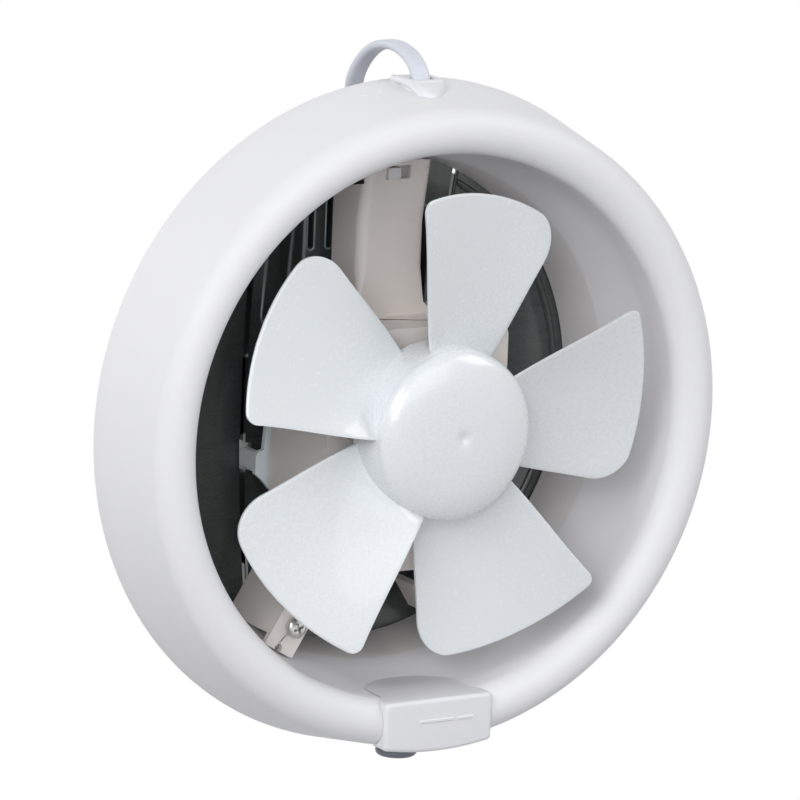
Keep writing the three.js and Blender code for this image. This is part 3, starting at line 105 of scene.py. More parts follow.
@dataclass
class Shape:
    """A closed surface in millimetres that becomes an object."""

    verts: list[Point] = field(default_factory=list)
    faces: list[tuple[int, ...]] = field(default_factory=list)

    def add(self, other: "Shape") -> None:
        """Adds another surface to this one.

        Args:
            other: the other surface.
        """
        start = len(self.verts)
        self.verts += other.verts
        self.faces += [tuple(start + i for i in face) for face in other.faces]

    def placed(self, matrix: Matrix) -> "Shape":
        """Returns the surface moved by a matrix whose lengths are millimetres."""
        return Shape([tuple(matrix @ Vector(v)) for v in self.verts], list(self.faces))

    def moved(self, x: float, y: float, z: float) -> "Shape":
        """Returns the surface moved along X, Y and Z."""
        return self.placed(Matrix.Translation((x, y, z)))

    def upright(self) -> "Shape":
        """Returns the surface turned so that what pointed along +Y points up."""
        return self.placed(Y_TO_Z)

    def made(self, name: str) -> bpy.types.Object:
        """Makes the surface an object.

        Args:
            name: name of the object and its mesh.

        Returns:
            The object, with its faces outwards and smooth shading up to an angle.
        """
        mesh = bpy.data.meshes.new(name)
        mesh.from_pydata([tuple(c * MM for c in v) for v in self.verts], [], self.faces)
        return tidy(linked(name, mesh))


def tidy(obj: bpy.types.Object, merge: float = 0.0) -> bpy.types.Object:
    """Turns an object's faces outwards and sets its smooth shading.

    Args:
        obj: the object.
        merge: points closer than this many millimetres become one; 0 merges none.

    Returns:
        The same object.
    """
    mesh = obj.data
    work = bmesh.new()
    work.from_mesh(mesh)
    if merge:
        bmesh.ops.remove_doubles(work, verts=work.verts, dist=merge * MM)
    bmesh.ops.recalc_face_normals(work, faces=work.faces)
    work.to_mesh(mesh)
    work.free()
    mesh.shade_smooth()
    mesh.set_sharp_from_angle(angle=SMOOTH_ANGLE)
    return obj


def bake(obj: bpy.types.Object) -> bpy.types.Object:
    """Applies an object's modifiers to its mesh.

    Args:
        obj: the object, whose old mesh is deleted.

    Returns:
        The same object.
    """
    bpy.context.view_layer.update()
    graph = bpy.context.evaluated_depsgraph_get()
    made = bpy.data.meshes.new_from_object(obj.evaluated_get(graph), depsgraph=graph)
    obj.modifiers.clear()
    old = obj.data
    obj.data = made
    if old.users == 0:
        bpy.data.meshes.remove(old)
    return obj


def joined(objects: Sequence[bpy.types.Object], name: str) -> bpy.types.Object:
    """Joins objects that sit at the origin into one.

    Args:
        objects: the objects, which are used up.
        name: name of the new object.

    Returns:
        The new object.
    """
    work = bmesh.new()
    for obj in objects:
        work.from_mesh(obj.data)
        bpy.data.objects.remove(obj)
    mesh = bpy.data.meshes.new(name)
    work.to_mesh(mesh)
    work.free()
    return tidy(linked(name, mesh))


def carve(obj: bpy.types.Object, tool: bpy.types.Object, cut: Cut = Cut.AWAY) -> bpy.types.Object:
    """Cuts an object with another one.

    Args:
        obj: the solid that is kept.
        tool: the solid that cuts it, which is used up.
        cut: what the tool does.

    Returns:
        The cut object.
    """
    step = obj.modifiers.new("carve", "BOOLEAN")
    step.object = tool
    step.operation = cut.value
    step.solver = "EXACT"
    bake(obj)
    bpy.data.objects.remove(tool)
    return tidy(obj)


def round_edges(
    obj: bpy.types.Object, width: float, segments: int = 2, angle: float = 35.0, dissolve: float = 0.6
) -> bpy.types.Object:
    """Merges an object's flat faces and rounds its sharp edges.

    Args:
        obj: the object.
        width: bevel width in millimetres.
        segments: faces across a bevel.
        angle: edges sharper than this many degrees are rounded.
        dissolve: faces that meet at less than this many degrees are joined first.

    Returns:
        The same object.
    """
    if dissolve:
        flat = obj.modifiers.new("flat", "DECIMATE")
        flat.decimate_type = "DISSOLVE"
        flat.angle_limit = math.radians(dissolve)
    bevel = obj.modifiers.new("bevel", "BEVEL")
    bevel.width = width * MM
    bevel.segments = segments
    bevel.limit_method = "ANGLE"
    bevel.angle_limit = math.radians(angle)
    bevel.use_clamp_overlap = True
    bevel.miter_outer = "MITER_ARC"
    bake(obj)
    obj.data.shade_smooth()
    weighted = obj.modifiers.new("weighted", "WEIGHTED_NORMAL")
    weighted.keep_sharp = False
    weighted.weight = NORMAL_WEIGHT
    return bake(obj)


def circle(radius: float, count: int) -> Outline:
    """Evenly spaced points on a circle about the origin."""
    turns = (FULL_TURN * i / count for i in range(count))
    return [(radius * math.cos(a), radius * math.sin(a)) for a in turns]


def revolved(outline: Sequence[Flat], segments: int = 160) -> Shape:
    """A closed [radius, y] outline turned about the fan's axis.

    Args:
        outline: corners of the section; a radius of 0 makes a pole.
        segments: faces round the axis.

    Returns:
        The solid.
    """
    shape = Shape()
    rows: list[range] = []
    for radius, y in outline:
        ring = [(0.0, 0.0)] if abs(radius) < POLE else circle(radius, segments)
        rows.append(range(len(shape.verts), len(shape.verts) + len(ring)))
        shape.verts += [(x, y, z) for x, z in ring]
    pairs = list(zip(rows, rows[1:]))
    if len(rows[0]) > 1 or len(rows[-1]) > 1:
        pairs.append((rows[-1], rows[0]))
    for low, high in pairs:
        if len(low) == len(high) == 1:
            continue
        for i in range(segments):
            j = (i + 1) % segments
            corners = (low[i % len(low)], low[j % len(low)], high[j % len(high)], high[i % len(high)])
            shape.faces.append(tuple(dict.fromkeys(corners)))
    return shape


def lofted(rings: Sequence[Sequence[Point]]) -> Shape:
    """A solid through rings of points, closed at both ends.

    Args:
        rings: the rings in order, each with equally many points.

    Returns:
        The solid.
    """
    count = len(rings[0])
    shape = Shape([tuple(p) for ring in rings for p in ring])
    for s in range(len(rings) - 1):
        for k in range(count):
            a, b = s * count + k, s * count + (k + 1) % count
            shape.faces.append((a, b, b + count, a + count))
    last = (len(rings) - 1) * count
    shape.faces.append(tuple(reversed(range(count))))
    shape.faces.append(tuple(range(last, last + count)))
    return shape


def squared(value: float, power: float) -> float:
    """Power of a sine or cosine with its sign kept; powers under 1 square a circle."""
    return math.copysign(abs(value) ** power, value)


def boxed(low: Point, high: Point) -> Shape:
    """A box between two corners.

    Args:
        low: the left, front, lower corner.
        high: the opposite corner.

    Returns:
        The box.
    """
    (a, b, c), (d, e, f) = low, high
    ring = [(a, b), (d, b), (d, e), (a, e)]
    return lofted([[(x, y, c) for x, y in ring], [(x, y, f) for x, y in ring]])


def rod(axis: Axis, radius: float, start: float, end: float, at: Flat = (0, 0), segments: int = 40) -> Shape:
    """A cylinder along an axis.

    Args:
        axis: the direction that it points along.
        radius: its radius.
        start: where it begins on that axis.
        end: where it ends on that axis.
        at: the other two coordinates of its middle, in the order X, Y, Z.
        segments: faces round it.

    Returns:
        The solid.
    """
    rings = []
    for along in (start, end):
        ring = []
        for u, v in circle(radius, segments):
            point = [at[0] + u, at[1] + v]
            point.insert(axis.value, along)
            ring.append(tuple(point))
        rings.append(ring)
    return lofted(rings)


def rounded(x0: float, z0: float, x1: float, z1: float, radius: float, steps: int = 8) -> Outline:
    """Outline of a rectangle with rounded corners.

    Args:
        x0: left side.
        z0: lower side.
        x1: right side.
        z1: upper side.
        radius: radius of the corners.
        steps: edges in a corner.

    Returns:
        The outline, from the upper right corner round to the left.
    """
    corners = [(x1 - radius, z1 - radius, 0), (x0 + radius, z1 - radius, 90),
               (x0 + radius, z0 + radius, 180), (x1 - radius, z0 + radius, 270)]
    outline = []
    for x, z, start in corners:
        for i in range(steps + 1):
            turn = math.radians(start + 90 * i / steps)
            outline.append((x + radius * math.cos(turn), z + radius * math.sin(turn)))
    return outline


def peg(radius: float, low: float, high: float, chamfer: float) -> Corners:
    """Half section of a solid peg with chamfered ends."""
    return ((0, low), (radius - chamfer, low), (radius, low + chamfer),
            (radius, high - chamfer), (radius - chamfer, high), (0, high))


def plate(outline: Sequence[Flat], y0: float, y1: float) -> Shape:
    """An [x, z] outline made as thick as the stretch from y0 to y1."""
    return lofted([[(x, y0, z) for x, z in outline], [(x, y1, z) for x, z in outline]])


def bent(ring: Sequence[Point], steps: int = 4) -> list[Point]:
    """Makes an open run of points finer on a smooth curve, its two ends kept as corners.

    Args:
        ring: the points.
        steps: new points for each old one.

    Returns:
        The finer run.
    """
    points = [Vector(p) for p in ring]
    points = [points[0]] + points + [points[-1]]
    fine = []
    for p0, p1, p2, p3 in zip(points, points[1:], points[2:], points[3:]):
        for k in range(steps):
            t = k / steps
            fine.append(tuple(0.5 * (2 * p1 + (p2 - p0) * t + (2 * p0 - 5 * p1 + 4 * p2 - p3) * t ** 2
                                     + (3 * p1 - p0 - 3 * p2 + p3) * t ** 3)))
    return fine + [tuple(points[-1])]


# ---- Nodes ----


Settings = dict[str, object]
Sockets = dict[str | int, object]


class Value:
    """A number in a node tree that can be added, multiplied and divided."""

    def __init__(self, nodes: "Nodes", socket: bpy.types.NodeSocket) -> None:
        """Wraps an output of a node."""
        self.nodes = nodes
        self.socket = socket

    def _math(self, operation: str, first: "Value | float", second: "Value | float") -> "Value":
        """Adds a Math node for two numbers."""
        return self.nodes.value("ShaderNodeMath", {"operation": operation}, {0: first, 1: second})

    def __add__(self, other: "Value | float") -> "Value":
        """This number plus another."""
        return self._math("ADD", self, other)

    def __radd__(self, other: float) -> "Value":
        """A constant plus this number."""
        return self._math("ADD", other, self)

    def __mul__(self, other: "Value | float") -> "Value":
        """This number times another."""
        return self._math("MULTIPLY", self, other)

    def __rmul__(self, other: float) -> "Value":
        """A constant times this number."""
        return self._math("MULTIPLY", other, self)

    def __truediv__(self, other: "Value | float") -> "Value":
        """This number divided by another."""
        return self._math("DIVIDE", self, other)

    def __rtruediv__(self, other: float) -> "Value":
        """A constant divided by this number."""
        return self._math("DIVIDE", other, self)

    def at_least(self, other: "Value | float") -> "Value":
        """The larger of this number and another."""
        return self._math("MAXIMUM", self, other)

    def within(self, low: float, high: float) -> "Value":
        """Share of the way from low to high, kept between 0 and 1."""
        return self.nodes.value("ShaderNodeMapRange",
                                sockets={"Value": self, "From Min": low, "From Max": high})


class Nodes:
    """A node tree and the one way in which nodes are added to it."""

    def __init__(self, tree: bpy.types.NodeTree) -> None:
        """Takes the tree that the nodes go in."""
        self.tree = tree

    def add(self, kind: str, settings: Settings | None = None,
            sockets: Sockets | None = None) -> bpy.types.Node:
        """Adds a node.

        Args:
            kind: the node's type.
            settings: its settings, which are set first.
            sockets: constants or links for its inputs, by name or by place.

        Returns:
            The node.
        """
        made = self.tree.nodes.new(kind)
        for key, setting in (settings or {}).items():
            setattr(made, key, setting)
        for key, value in (sockets or {}).items():
            self.feed(made.inputs[key], value)
        return made

    def feed(self, place: bpy.types.NodeSocket, value: object) -> None:
        """Links an output to an input, or writes a constant on it.

        Args:
            place: the input.
            value: a Value, an output of a node, or a constant.
        """
        source = value.socket if isinstance(value, Value) else value
        if isinstance(source, bpy.types.NodeSocket):
            self.tree.links.new(source, place)
        else:
            place.default_value = source

    def value(self, kind: str, settings: Settings | None = None, sockets: Sockets | None = None,
              out: str | int = 0) -> Value:
        """Adds a node as add() does and wraps one of its outputs."""
        return Value(self, self.add(kind, settings, sockets).outputs[out])

    def light_path(self) -> list[Value]:
        """Whether a ray comes from the camera, a reflection or a transmission."""
        path = self.add("ShaderNodeLightPath")
        return [Value(self, path.outputs[f"Is {kind} Ray"]) for kind in ("Camera", "Glossy", "Transmission")]


class Paint(Nodes):
    """A material and the few node patterns that the finishes are mixed from."""

    def __init__(self, name: str) -> None:
        """Starts a material with its shader and the place on the object.

        Args:
            name: name of the material.
        """
        self.material = bpy.data.materials.new(name)
        self.material.use_nodes = True
        super().__init__(self.material.node_tree)
        self.shader = next(n for n in self.tree.nodes if n.type == "BSDF_PRINCIPLED")
        self.where = self.add("ShaderNodeTexCoord").outputs["Object"]

    def noise(self, scale: float, detail: float = 3.0, rough: float = 0.5,
              stretch: Point = (1, 1, 1)) -> Value:
        """Cloudy noise.

        Args:
            scale: grains in a metre.
            detail: number of finer layers.
            rough: strength of each finer layer.
            stretch: scale along X, Y and Z.

        Returns:
            The noise, between 0 and 1.
        """
        mapping = self.add("ShaderNodeMapping", sockets={"Vector": self.where, "Scale": stretch})
        return self.value("ShaderNodeTexNoise", out="Fac", sockets={
            "Vector": mapping.outputs[0], "Scale": scale, "Detail": detail, "Roughness": rough})

    def stripes(self, scale: float, wobble: float) -> Value:
        """Even bands across the fan's axis."""
        return self.value("ShaderNodeTexWave", {"bands_direction": "Y", "wave_profile": "SIN"},
                          {"Vector": self.where, "Scale": scale, "Distortion": wobble}, "Fac")

    def cells(self, scale: float) -> Value:
        """Distance to the nearest of many scattered points."""
        return self.value("ShaderNodeTexVoronoi", out="Distance",
                          sockets={"Vector": self.where, "Scale": scale})

    def colour(self, low: Colour, high: Colour, share: Value) -> None:
        """Sets the base colour.

        Args:
            low: the colour where the share is 0.
            high: the colour where it is 1.
            share: what mixes them.
        """
        mix = self.add("ShaderNodeMix", {"data_type": "RGBA"},
                       {"Factor": share, 6: (*low, 1), 7: (*high, 1)})
        self.feed(self.shader.inputs["Base Color"], mix.outputs[2])

    def roughness(self, low: float, high: float, share: Value) -> None:
        """Roughness that goes from low to high with a share."""
        self.feed(self.shader.inputs["Roughness"], share * (high - low) + low)

    def relief(self, height: Value, depth: float, strength: float) -> None:
        """Sets a fine relief.

        Args:
            height: its pattern.
            depth: its depth in millimetres.
            strength: how much of it shows.
        """
        bump = self.add("ShaderNodeBump",
                        sockets={"Strength": strength, "Distance": depth * MM, "Height": height})
        self.feed(self.shader.inputs["Normal"], bump.outputs[0])

    def constant(self, **values: object) -> None:
        """Writes constant shader inputs, named with underscores for spaces."""
        for key, value in values.items():
            self.feed(self.shader.inputs[key.replace("_", " ")], value)


class Tree(Nodes):
    """A geometry node tree with named inputs, run once on an object."""

    def __init__(self, name: str, inputs: dict[str, str]) -> None:
        """Starts a tree.

        Args:
            name: name of the tree.
            inputs: type of each input's socket besides the geometry, by its name.
        """
        super().__init__(bpy.data.node_groups.new(name, "GeometryNodeTree"))
        face = self.tree.interface
        for label, kind in {"Geometry": "NodeSocketGeometry", **inputs}.items():
            face.new_socket(name=label, in_out="INPUT", socket_type=kind)
        face.new_socket(name="Geometry", in_out="OUTPUT", socket_type="NodeSocketGeometry")
        self.start = self.add("NodeGroupInput")
        self.end = self.add("NodeGroupOutput")

    def given(self, label: str) -> bpy.types.NodeSocket:
        """One of the tree's inputs."""
        return self.start.outputs[label]

    def close(self, geometry: bpy.types.NodeSocket) -> None:
        """Ends the tree in realized instances with the material that the tree is given.

        Args:
            geometry: the instances.
        """
        real = self.add("GeometryNodeRealizeInstances", sockets={0: geometry})
        dressed = self.add("GeometryNodeSetMaterial",
                           sockets={"Geometry": real.outputs[0], "Material": self.given("Material")})
        self.feed(self.end.inputs[0], dressed.outputs[0])

    def run(self, obj: bpy.types.Object, **values: object) -> bpy.types.Object:
        """Runs the tree on an object and keeps the result as its mesh.

        Args:
            obj: the object.
            values: the tree's inputs by name.

        Returns:
            The same object.
        """
        step = obj.modifiers.new(self.tree.name, "NODES")
        step.node_group = self.tree
        sockets = {item.name: item.identifier for item in self.tree.interface.items_tree
                   if item.in_out == "INPUT"}
        for key, value in values.items():
            step[sockets[key]] = value
        return bake(obj)


def ring_tree() -> Tree:
    """Tree that repeats the object it runs on at even turns about the fan's axis.

    Returns:
        The tree, with inputs Count and Material.
    """
    tree = Tree("ring_of_copies", {"Count": "NodeSocketInt", "Material": "NodeSocketMaterial"})
    points = tree.add("GeometryNodeMeshLine", {"mode": "OFFSET"},
                      {"Offset": (0, 0, 0), "Count": tree.given("Count")})
    angle = tree.value("GeometryNodeInputIndex") / Value(tree, tree.given("Count")) * FULL_TURN
    turn = tree.add("ShaderNodeCombineXYZ", sockets={"Y": angle})
    copies = tree.add("GeometryNodeInstanceOnPoints", sockets={
        "Points": points.outputs[0], "Instance": tree.given("Geometry"), "Rotation": turn.outputs[0]})
    tree.close(copies.outputs[0])
    return tree


def wire_tree() -> Tree:
    """Tree that lays a wire loop many times side by side and gives it a round section.

    Returns:
        The tree, with inputs Count, Pitch, Wire (its radius) and Material.
    """
    tree = Tree("laid_wires", {"Count": "NodeSocketInt", "Pitch": "NodeSocketFloat",
                               "Wire": "NodeSocketFloat", "Material": "NodeSocketMaterial"})
    step = tree.add("ShaderNodeCombineXYZ", sockets={"X": tree.given("Pitch")})
    line = tree.add("GeometryNodeMeshLine", {"mode": "OFFSET"},
                    {"Count": tree.given("Count"), "Offset": step.outputs[0]})
    loops = tree.add("GeometryNodeMeshToCurve", sockets={"Mesh": tree.given("Geometry")})
    section = tree.add("GeometryNodeCurvePrimitiveCircle",
                       sockets={"Resolution": 6, "Radius": tree.given("Wire")})
    tube = tree.add("GeometryNodeCurveToMesh",
                    sockets={"Curve": loops.outputs[0], "Profile Curve": section.outputs[0]})
    copies = tree.add("GeometryNodeInstanceOnPoints",
                      sockets={"Points": line.outputs[0], "Instance": tube.outputs[0]})
    tree.close(copies.outputs[0])
    return tree


# ---- Finishes ----


@dataclass(frozen=True)
class Recipe:
    """A finish by name."""

    name: str

    def mix(self, paint: Paint) -> None:
        """Mixes the paint, each kind of finish in its own way."""
        raise NotImplementedError(f"{self.name} has no mix for {paint.material.name}")

    def made(self) -> bpy.types.Material:
        """Builds the material.

        Returns:
            The material.
        """
        paint = Paint(self.name)
        self.mix(paint)
        return paint.material


@dataclass(frozen=True)
class Moulded(Recipe):
    """Injection-moulded plastic with faint flow clouds and a fine skin, whose depth is the grain."""

    colour: Colour
    shade: Colour
    rough: Flat = (0.22, 0.3)
    grain: float = 0.0025
    coat: float = 0.0
    shine: float = 0.5
    cloud_scale: float = 14.0
    grain_scale: float = 900.0
    swell_scale: float = 35.0

    def mix(self, paint: Paint) -> None:
        """Mixes the paint.

        Args:
            paint: the material to finish.
        """
        clouds = paint.noise(self.cloud_scale, 4)
        fine = paint.noise(self.grain_scale, 2)
        paint.colour(self.shade, self.colour, clouds.within(0.25, 0.6))
        paint.roughness(*self.rough, (clouds + fine).within(0.7, 1.3))
        paint.relief(fine + 3.0 * paint.noise(self.swell_scale, 2), self.grain, 0.6)
        paint.constant(Coat_Weight=self.coat, Coat_Roughness=0.04, Specular_IOR_Level=self.shine)


@dataclass(frozen=True)
class Grained(Recipe):
    """Dark moulded plastic with an even spark-eroded grain and faint drag lines."""

    colour: Colour
    shade: Colour
    rough: Flat = (0.26, 0.36)
    line_scale: float = 260.0
    line_stretch: Point = (0.35, 0.35, 3.0)
    grain_scale: float = 1500.0

    def mix(self, paint: Paint) -> None:
        """Mixes the paint.

        Args:
            paint: the material to finish.
        """
        lines = paint.noise(self.line_scale, 2, 0.5, self.line_stretch)
        grain = paint.cells(self.grain_scale)
        paint.colour(self.shade, self.colour, (lines + grain).within(0.5, 1.2))
        paint.roughness(*self.rough, lines)
        paint.relief(grain + lines, 0.008, 0.6)
        paint.constant(Coat_Weight=0.6, Coat_Roughness=0.1)


@dataclass(frozen=True)
class Metal(Recipe):
    """Plated or turned metal with drawn lines and small stains."""

    colour: Colour
    stain: Colour
    rough: Flat = (0.2, 0.38)
    stretch: Point = (1, 12, 1)
    line_scale: float = 700.0
    stain_scale: float = 160.0

    def mix(self, paint: Paint) -> None:
        """Mixes the paint.

        Args:
            paint: the material to finish.
        """
        lines = paint.noise(self.line_scale, 3, 0.6, self.stretch)
        stains = paint.noise(self.stain_scale, 4)
        paint.colour(self.stain, self.colour, stains.within(0.3, 0.55))
        paint.roughness(*self.rough, (lines + stains).within(0.6, 1.4))
        paint.relief(lines, 0.02, 0.5)
        paint.constant(Metallic=1.0)


@dataclass(frozen=True)
class Laminated(Recipe):
    """Stack of thin varnished steel sheets, seen as lines across the fan's axis."""

    sheet: Colour = (0.16, 0.165, 0.17)
    joint: Colour = (0.05, 0.05, 0.055)
    rough: Flat = (0.35, 0.6)
    sheet_scale: float = 320.0
    blotch_scale: float = 120.0

    def mix(self, paint: Paint) -> None:
        """Mixes the paint.

        Args:
            paint: the material to finish.
        """
        sheets = paint.stripes(self.sheet_scale, 0.4)
        paint.colour(self.joint, self.sheet, sheets.within(0.1, 0.5))
        paint.roughness(*self.rough, paint.noise(self.blotch_scale, 3))
        paint.relief(sheets, 0.12, 0.8)
        paint.constant(Metallic=0.85)


@dataclass(frozen=True)
class Foamed(Recipe):
    """Closed-cell foam with open pores on its cut faces."""

    colour: Colour = (0.035, 0.036, 0.038)
    pore: Colour = (0.012, 0.012, 0.013)
    rough: Flat = (0.85, 1.0)
    pore_scale: float = 1400.0

    def mix(self, paint: Paint) -> None:
        """Mixes the paint.

        Args:
            paint: the material to finish.
        """
        pores = paint.cells(self.pore_scale)
        paint.colour(self.pore, self.colour, pores.within(0.1, 0.5))
        paint.roughness(*self.rough, pores)
        paint.relief(pores, 0.3, 0.9)


@dataclass(frozen=True)
class Sheath(Recipe):
    """Soft sheath of a flat two-core flex, with faint clouds and a fine skin.

    The scatter is how far light goes under its skin, in metres.
    """

    colour: Colour
    shade: Colour
    rough: Flat = (0.32, 0.5)
    cloud_scale: float = 45.0
    skin_scale: float = 1200.0
    scatter: float = 0.002

    def mix(self, paint: Paint) -> None:
        """Mixes the paint.

        Args:
            paint: the material to finish.
        """
        clouds = paint.noise(self.cloud_scale, 3)
        skin = paint.noise(self.skin_scale, 2)
        paint.colour(self.shade, self.colour, clouds.within(0.3, 0.65))
        paint.roughness(*self.rough, (clouds + skin).within(0.6, 1.3))
        paint.relief(skin + clouds, 0.03, 0.6)
        paint.constant(Subsurface_Weight=0.12, Subsurface_Radius=(self.scatter,) * 3)


class Finish(Enum):
    """Finishes of the fan's pieces."""

    HOUSING = "housing_white"
    DUCT = "duct_white"
    BRACKET = "bracket_white"
    IMPELLER = "impeller_white"
    MILKY = "milky_plastic"
    SHUTTER = "shutter_grey"
    # painted highlight: rims lighter than the shutter stand in for reflections on its edges
    RIM_HIGHLIGHT = "polished_rim"
    SLIDE = "slide_pale"
    DARK = "dark_plastic"
    FOAM = "foam"
    STEEL = "steel"
    # painted shade: steel darkened nearly black so the hinge pins stay dark in the leaves' gap
    PAINTED_SHADE_STEEL = "blacked_steel"
    LAMINATION = "lamination"
    WINDING = "winding"
    ALLOY = "bearing_alloy"
    BRASS = "brass"
    SHEATH = "flex_sheath"

    @property
    def slot(self) -> str:
        """The record's slot; steel darkened as painted shade is steel there, and a rim with a painted
        highlight is shutter plastic.
        """
        return {"blacked_steel": "steel", "polished_rim": "shutter_grey"}.get(self.value, self.value)


class Palette:
    """Makes each finish once and hands it out."""

    RECIPES: dict[Finish, Recipe] = {
        Finish.HOUSING: Moulded("glossy_white_housing", (0.855, 0.853, 0.87), (0.845, 0.843, 0.86),
                                (0.36, 0.44), shine=0.2),
        Finish.DUCT: Moulded("satin_white_duct", (0.82, 0.80, 0.80), (0.80, 0.78, 0.78), (0.3, 0.4)),
        Finish.BRACKET: Moulded("satin_white_bracket", (0.86, 0.805, 0.765), (0.84, 0.785, 0.745),
                                (0.35, 0.45)),
        Finish.IMPELLER: Moulded("glossy_white_impeller", (0.785, 0.82, 0.845), (0.775, 0.81, 0.835),
                                 (0.24, 0.3), grain=0.001, coat=0.6),
        Finish.MILKY: Moulded("milky_plastic", (0.82, 0.82, 0.85), (0.80, 0.80, 0.835), (0.32, 0.38),
                              grain=0.0008, shine=0.35),
        Finish.SHUTTER: Grained("dark_grey_shutter", (0.064, 0.074, 0.072), (0.041, 0.049, 0.048)),
        # painted highlight: light grey rims stand in for reflections on the dark shutter's pocket and slot
        # edges
        Finish.RIM_HIGHLIGHT: Moulded("polished_rim", (0.235, 0.275, 0.285), (0.205, 0.24, 0.25), (0.14, 0.2),
                            grain=0.0005, coat=1.0),
        Finish.SLIDE: Moulded("pale_slide", (0.84, 0.91, 0.94), (0.80, 0.87, 0.90), (0.3, 0.4)),
        Finish.DARK: Moulded("dark_plastic", (0.18, 0.195, 0.235), (0.16, 0.175, 0.21), (0.28, 0.38)),
        Finish.FOAM: Foamed("gasket_foam"),
        Finish.STEEL: Metal("zinc_steel", (0.66, 0.66, 0.65), (0.42, 0.42, 0.41)),
        # painted shade: near-black steel keeps the pins from showing light in the dark hinge gap
        Finish.PAINTED_SHADE_STEEL: Metal("blacked_steel", (0.035, 0.036, 0.038), (0.02, 0.02, 0.022), (0.5, 0.65)),
        Finish.LAMINATION: Laminated("core_laminations"),
        Finish.WINDING: Metal("varnished_copper", (0.60, 0.27, 0.10), (0.42, 0.17, 0.06), (0.2, 0.35),
                              (1, 1, 1)),
        Finish.ALLOY: Metal("cast_alloy", (0.60, 0.61, 0.62), (0.45, 0.46, 0.47), (0.35, 0.55), (1, 1, 1)),
        Finish.BRASS: Metal("turned_brass", (0.68, 0.50, 0.22), (0.50, 0.35, 0.14)),
        Finish.SHEATH: Sheath("flex_sheath", (0.70, 0.73, 0.80), (0.66, 0.69, 0.77)),
    }

    def __init__(self) -> None:
        """Starts with no material made."""
        self.made: dict[Finish, bpy.types.Material] = {}

    def __getitem__(self, finish: Finish) -> bpy.types.Material:
        """Hands out the material of a finish.

        Args:
            finish: the finish.

        Returns:
            The material, made on its first use.
        """
        if finish not in self.made:
            self.made[finish] = self.RECIPES[finish].made()
        return self.made[finish]


# ---- Shared pieces of work ----


def put(obj: bpy.types.Object, palette: Palette, finish: Finish, body: str, *nodes: str) -> bpy.types.Object:
    """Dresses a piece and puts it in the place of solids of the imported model.

    Args:
        obj: the piece.
        palette: where finishes come from.
        finish: the finish of the piece.
        body: the moving body that it rides on.
        nodes: the solids that it stands for.

    Returns:
        The piece.
    """
    obj.data.materials.clear()
    obj.data.materials.append(palette[finish])
    for face in obj.data.polygons:
        face.material_index = 0
    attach(obj, body)
    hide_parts(*nodes)
    finish.slot
    log.info("%s: %d faces, stands for %s", obj.name, len(obj.data.polygons), ", ".join(nodes))
    return obj


def copied(node: str, name: str) -> bpy.types.Object:
    """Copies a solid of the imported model.

    Args:
        node: the solid.
        name: name of the new object.

    Returns:
        The new object, with its points merged.
    """
    obj = linked(name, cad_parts[node].data.copy())
    obj.data.materials.clear()
    return tidy(obj, merge=MERGE_DISTANCE)


@dataclass(frozen=True)
class PanScrew:
    """Pan-head screw with a cross recess and a threaded shank."""

    radius: float = 1.8
    head_radius: float = 3.6
    head_height: float = 2.4
    length: float = 13.0
    pitch: float = 0.9
    root: float = 0.76
    neck: float = 0.82
    point: float = 1.5
    recess_turn: float = 20.0

    def section(self) -> Outline:
        """Half section from the top of the head to the point, along +Y.

        Returns:
            The [radius, y] outline.
        """
        outline: Outline = [(0.0, self.head_height)]
        steps = 8
        for i in range(1, steps + 1):
            turn = QUARTER_TURN * i / steps
            outline.append((self.head_radius * math.sin(turn) ** 0.9,
                            self.head_height * (0.32 + 0.68 * math.cos(turn) ** 0.8)))
        outline += [(self.head_radius, 0.15), (self.head_radius - 0.15, 0.0), (self.radius * self.neck, 0.0)]
        turns = max(1, int((self.length - self.point) / self.pitch))
        for i in range(turns):
            y = -0.6 - i * self.pitch
            shrink = 1.0 if i < turns - 2 else 0.8
            outline += [(self.radius * self.root * shrink, y), (self.radius * shrink, y - 0.3),
                        (self.radius * self.root * shrink, y - 0.6)]
        return outline + [(0.0, -self.length)]

    def recess_arm(self) -> Shape:
        """One of the two tapered bars that cut the cross into the head.

        Returns:
            The bar, with its bottom in the head.
        """
        arm, slot = self.head_radius * 0.56, self.head_radius * 0.12
        rings = []
        for reach, half, z in ((arm * 0.45, slot * 0.7, self.head_height * 0.35),
                               (arm * 1.35, slot * 1.3, self.head_height + 1)):
            rings.append([(-reach, -half, z), (reach, -half, z), (reach, half, z), (-reach, half, z)])
        return lofted(rings)

    def made(self, name: str, matrix: Matrix) -> bpy.types.Object:
        """Makes the screw.

        Args:
            name: name of the object.
            matrix: where its seat goes, with the head towards the matrix's +Z; lengths in millimetres.

        Returns:
            The object.
        """
        screw = revolved(self.section(), segments=28).upright().made(name)
        for turn in (0, 90):
            spin = Matrix.Rotation(math.radians(turn + self.recess_turn), 4, "Z")
            carve(screw, self.recess_arm().placed(spin).made("cross"))
        place = matrix.copy()
        place.translation = place.translation * MM
        screw.data.transform(place)
        return screw


# ---- Housing ----


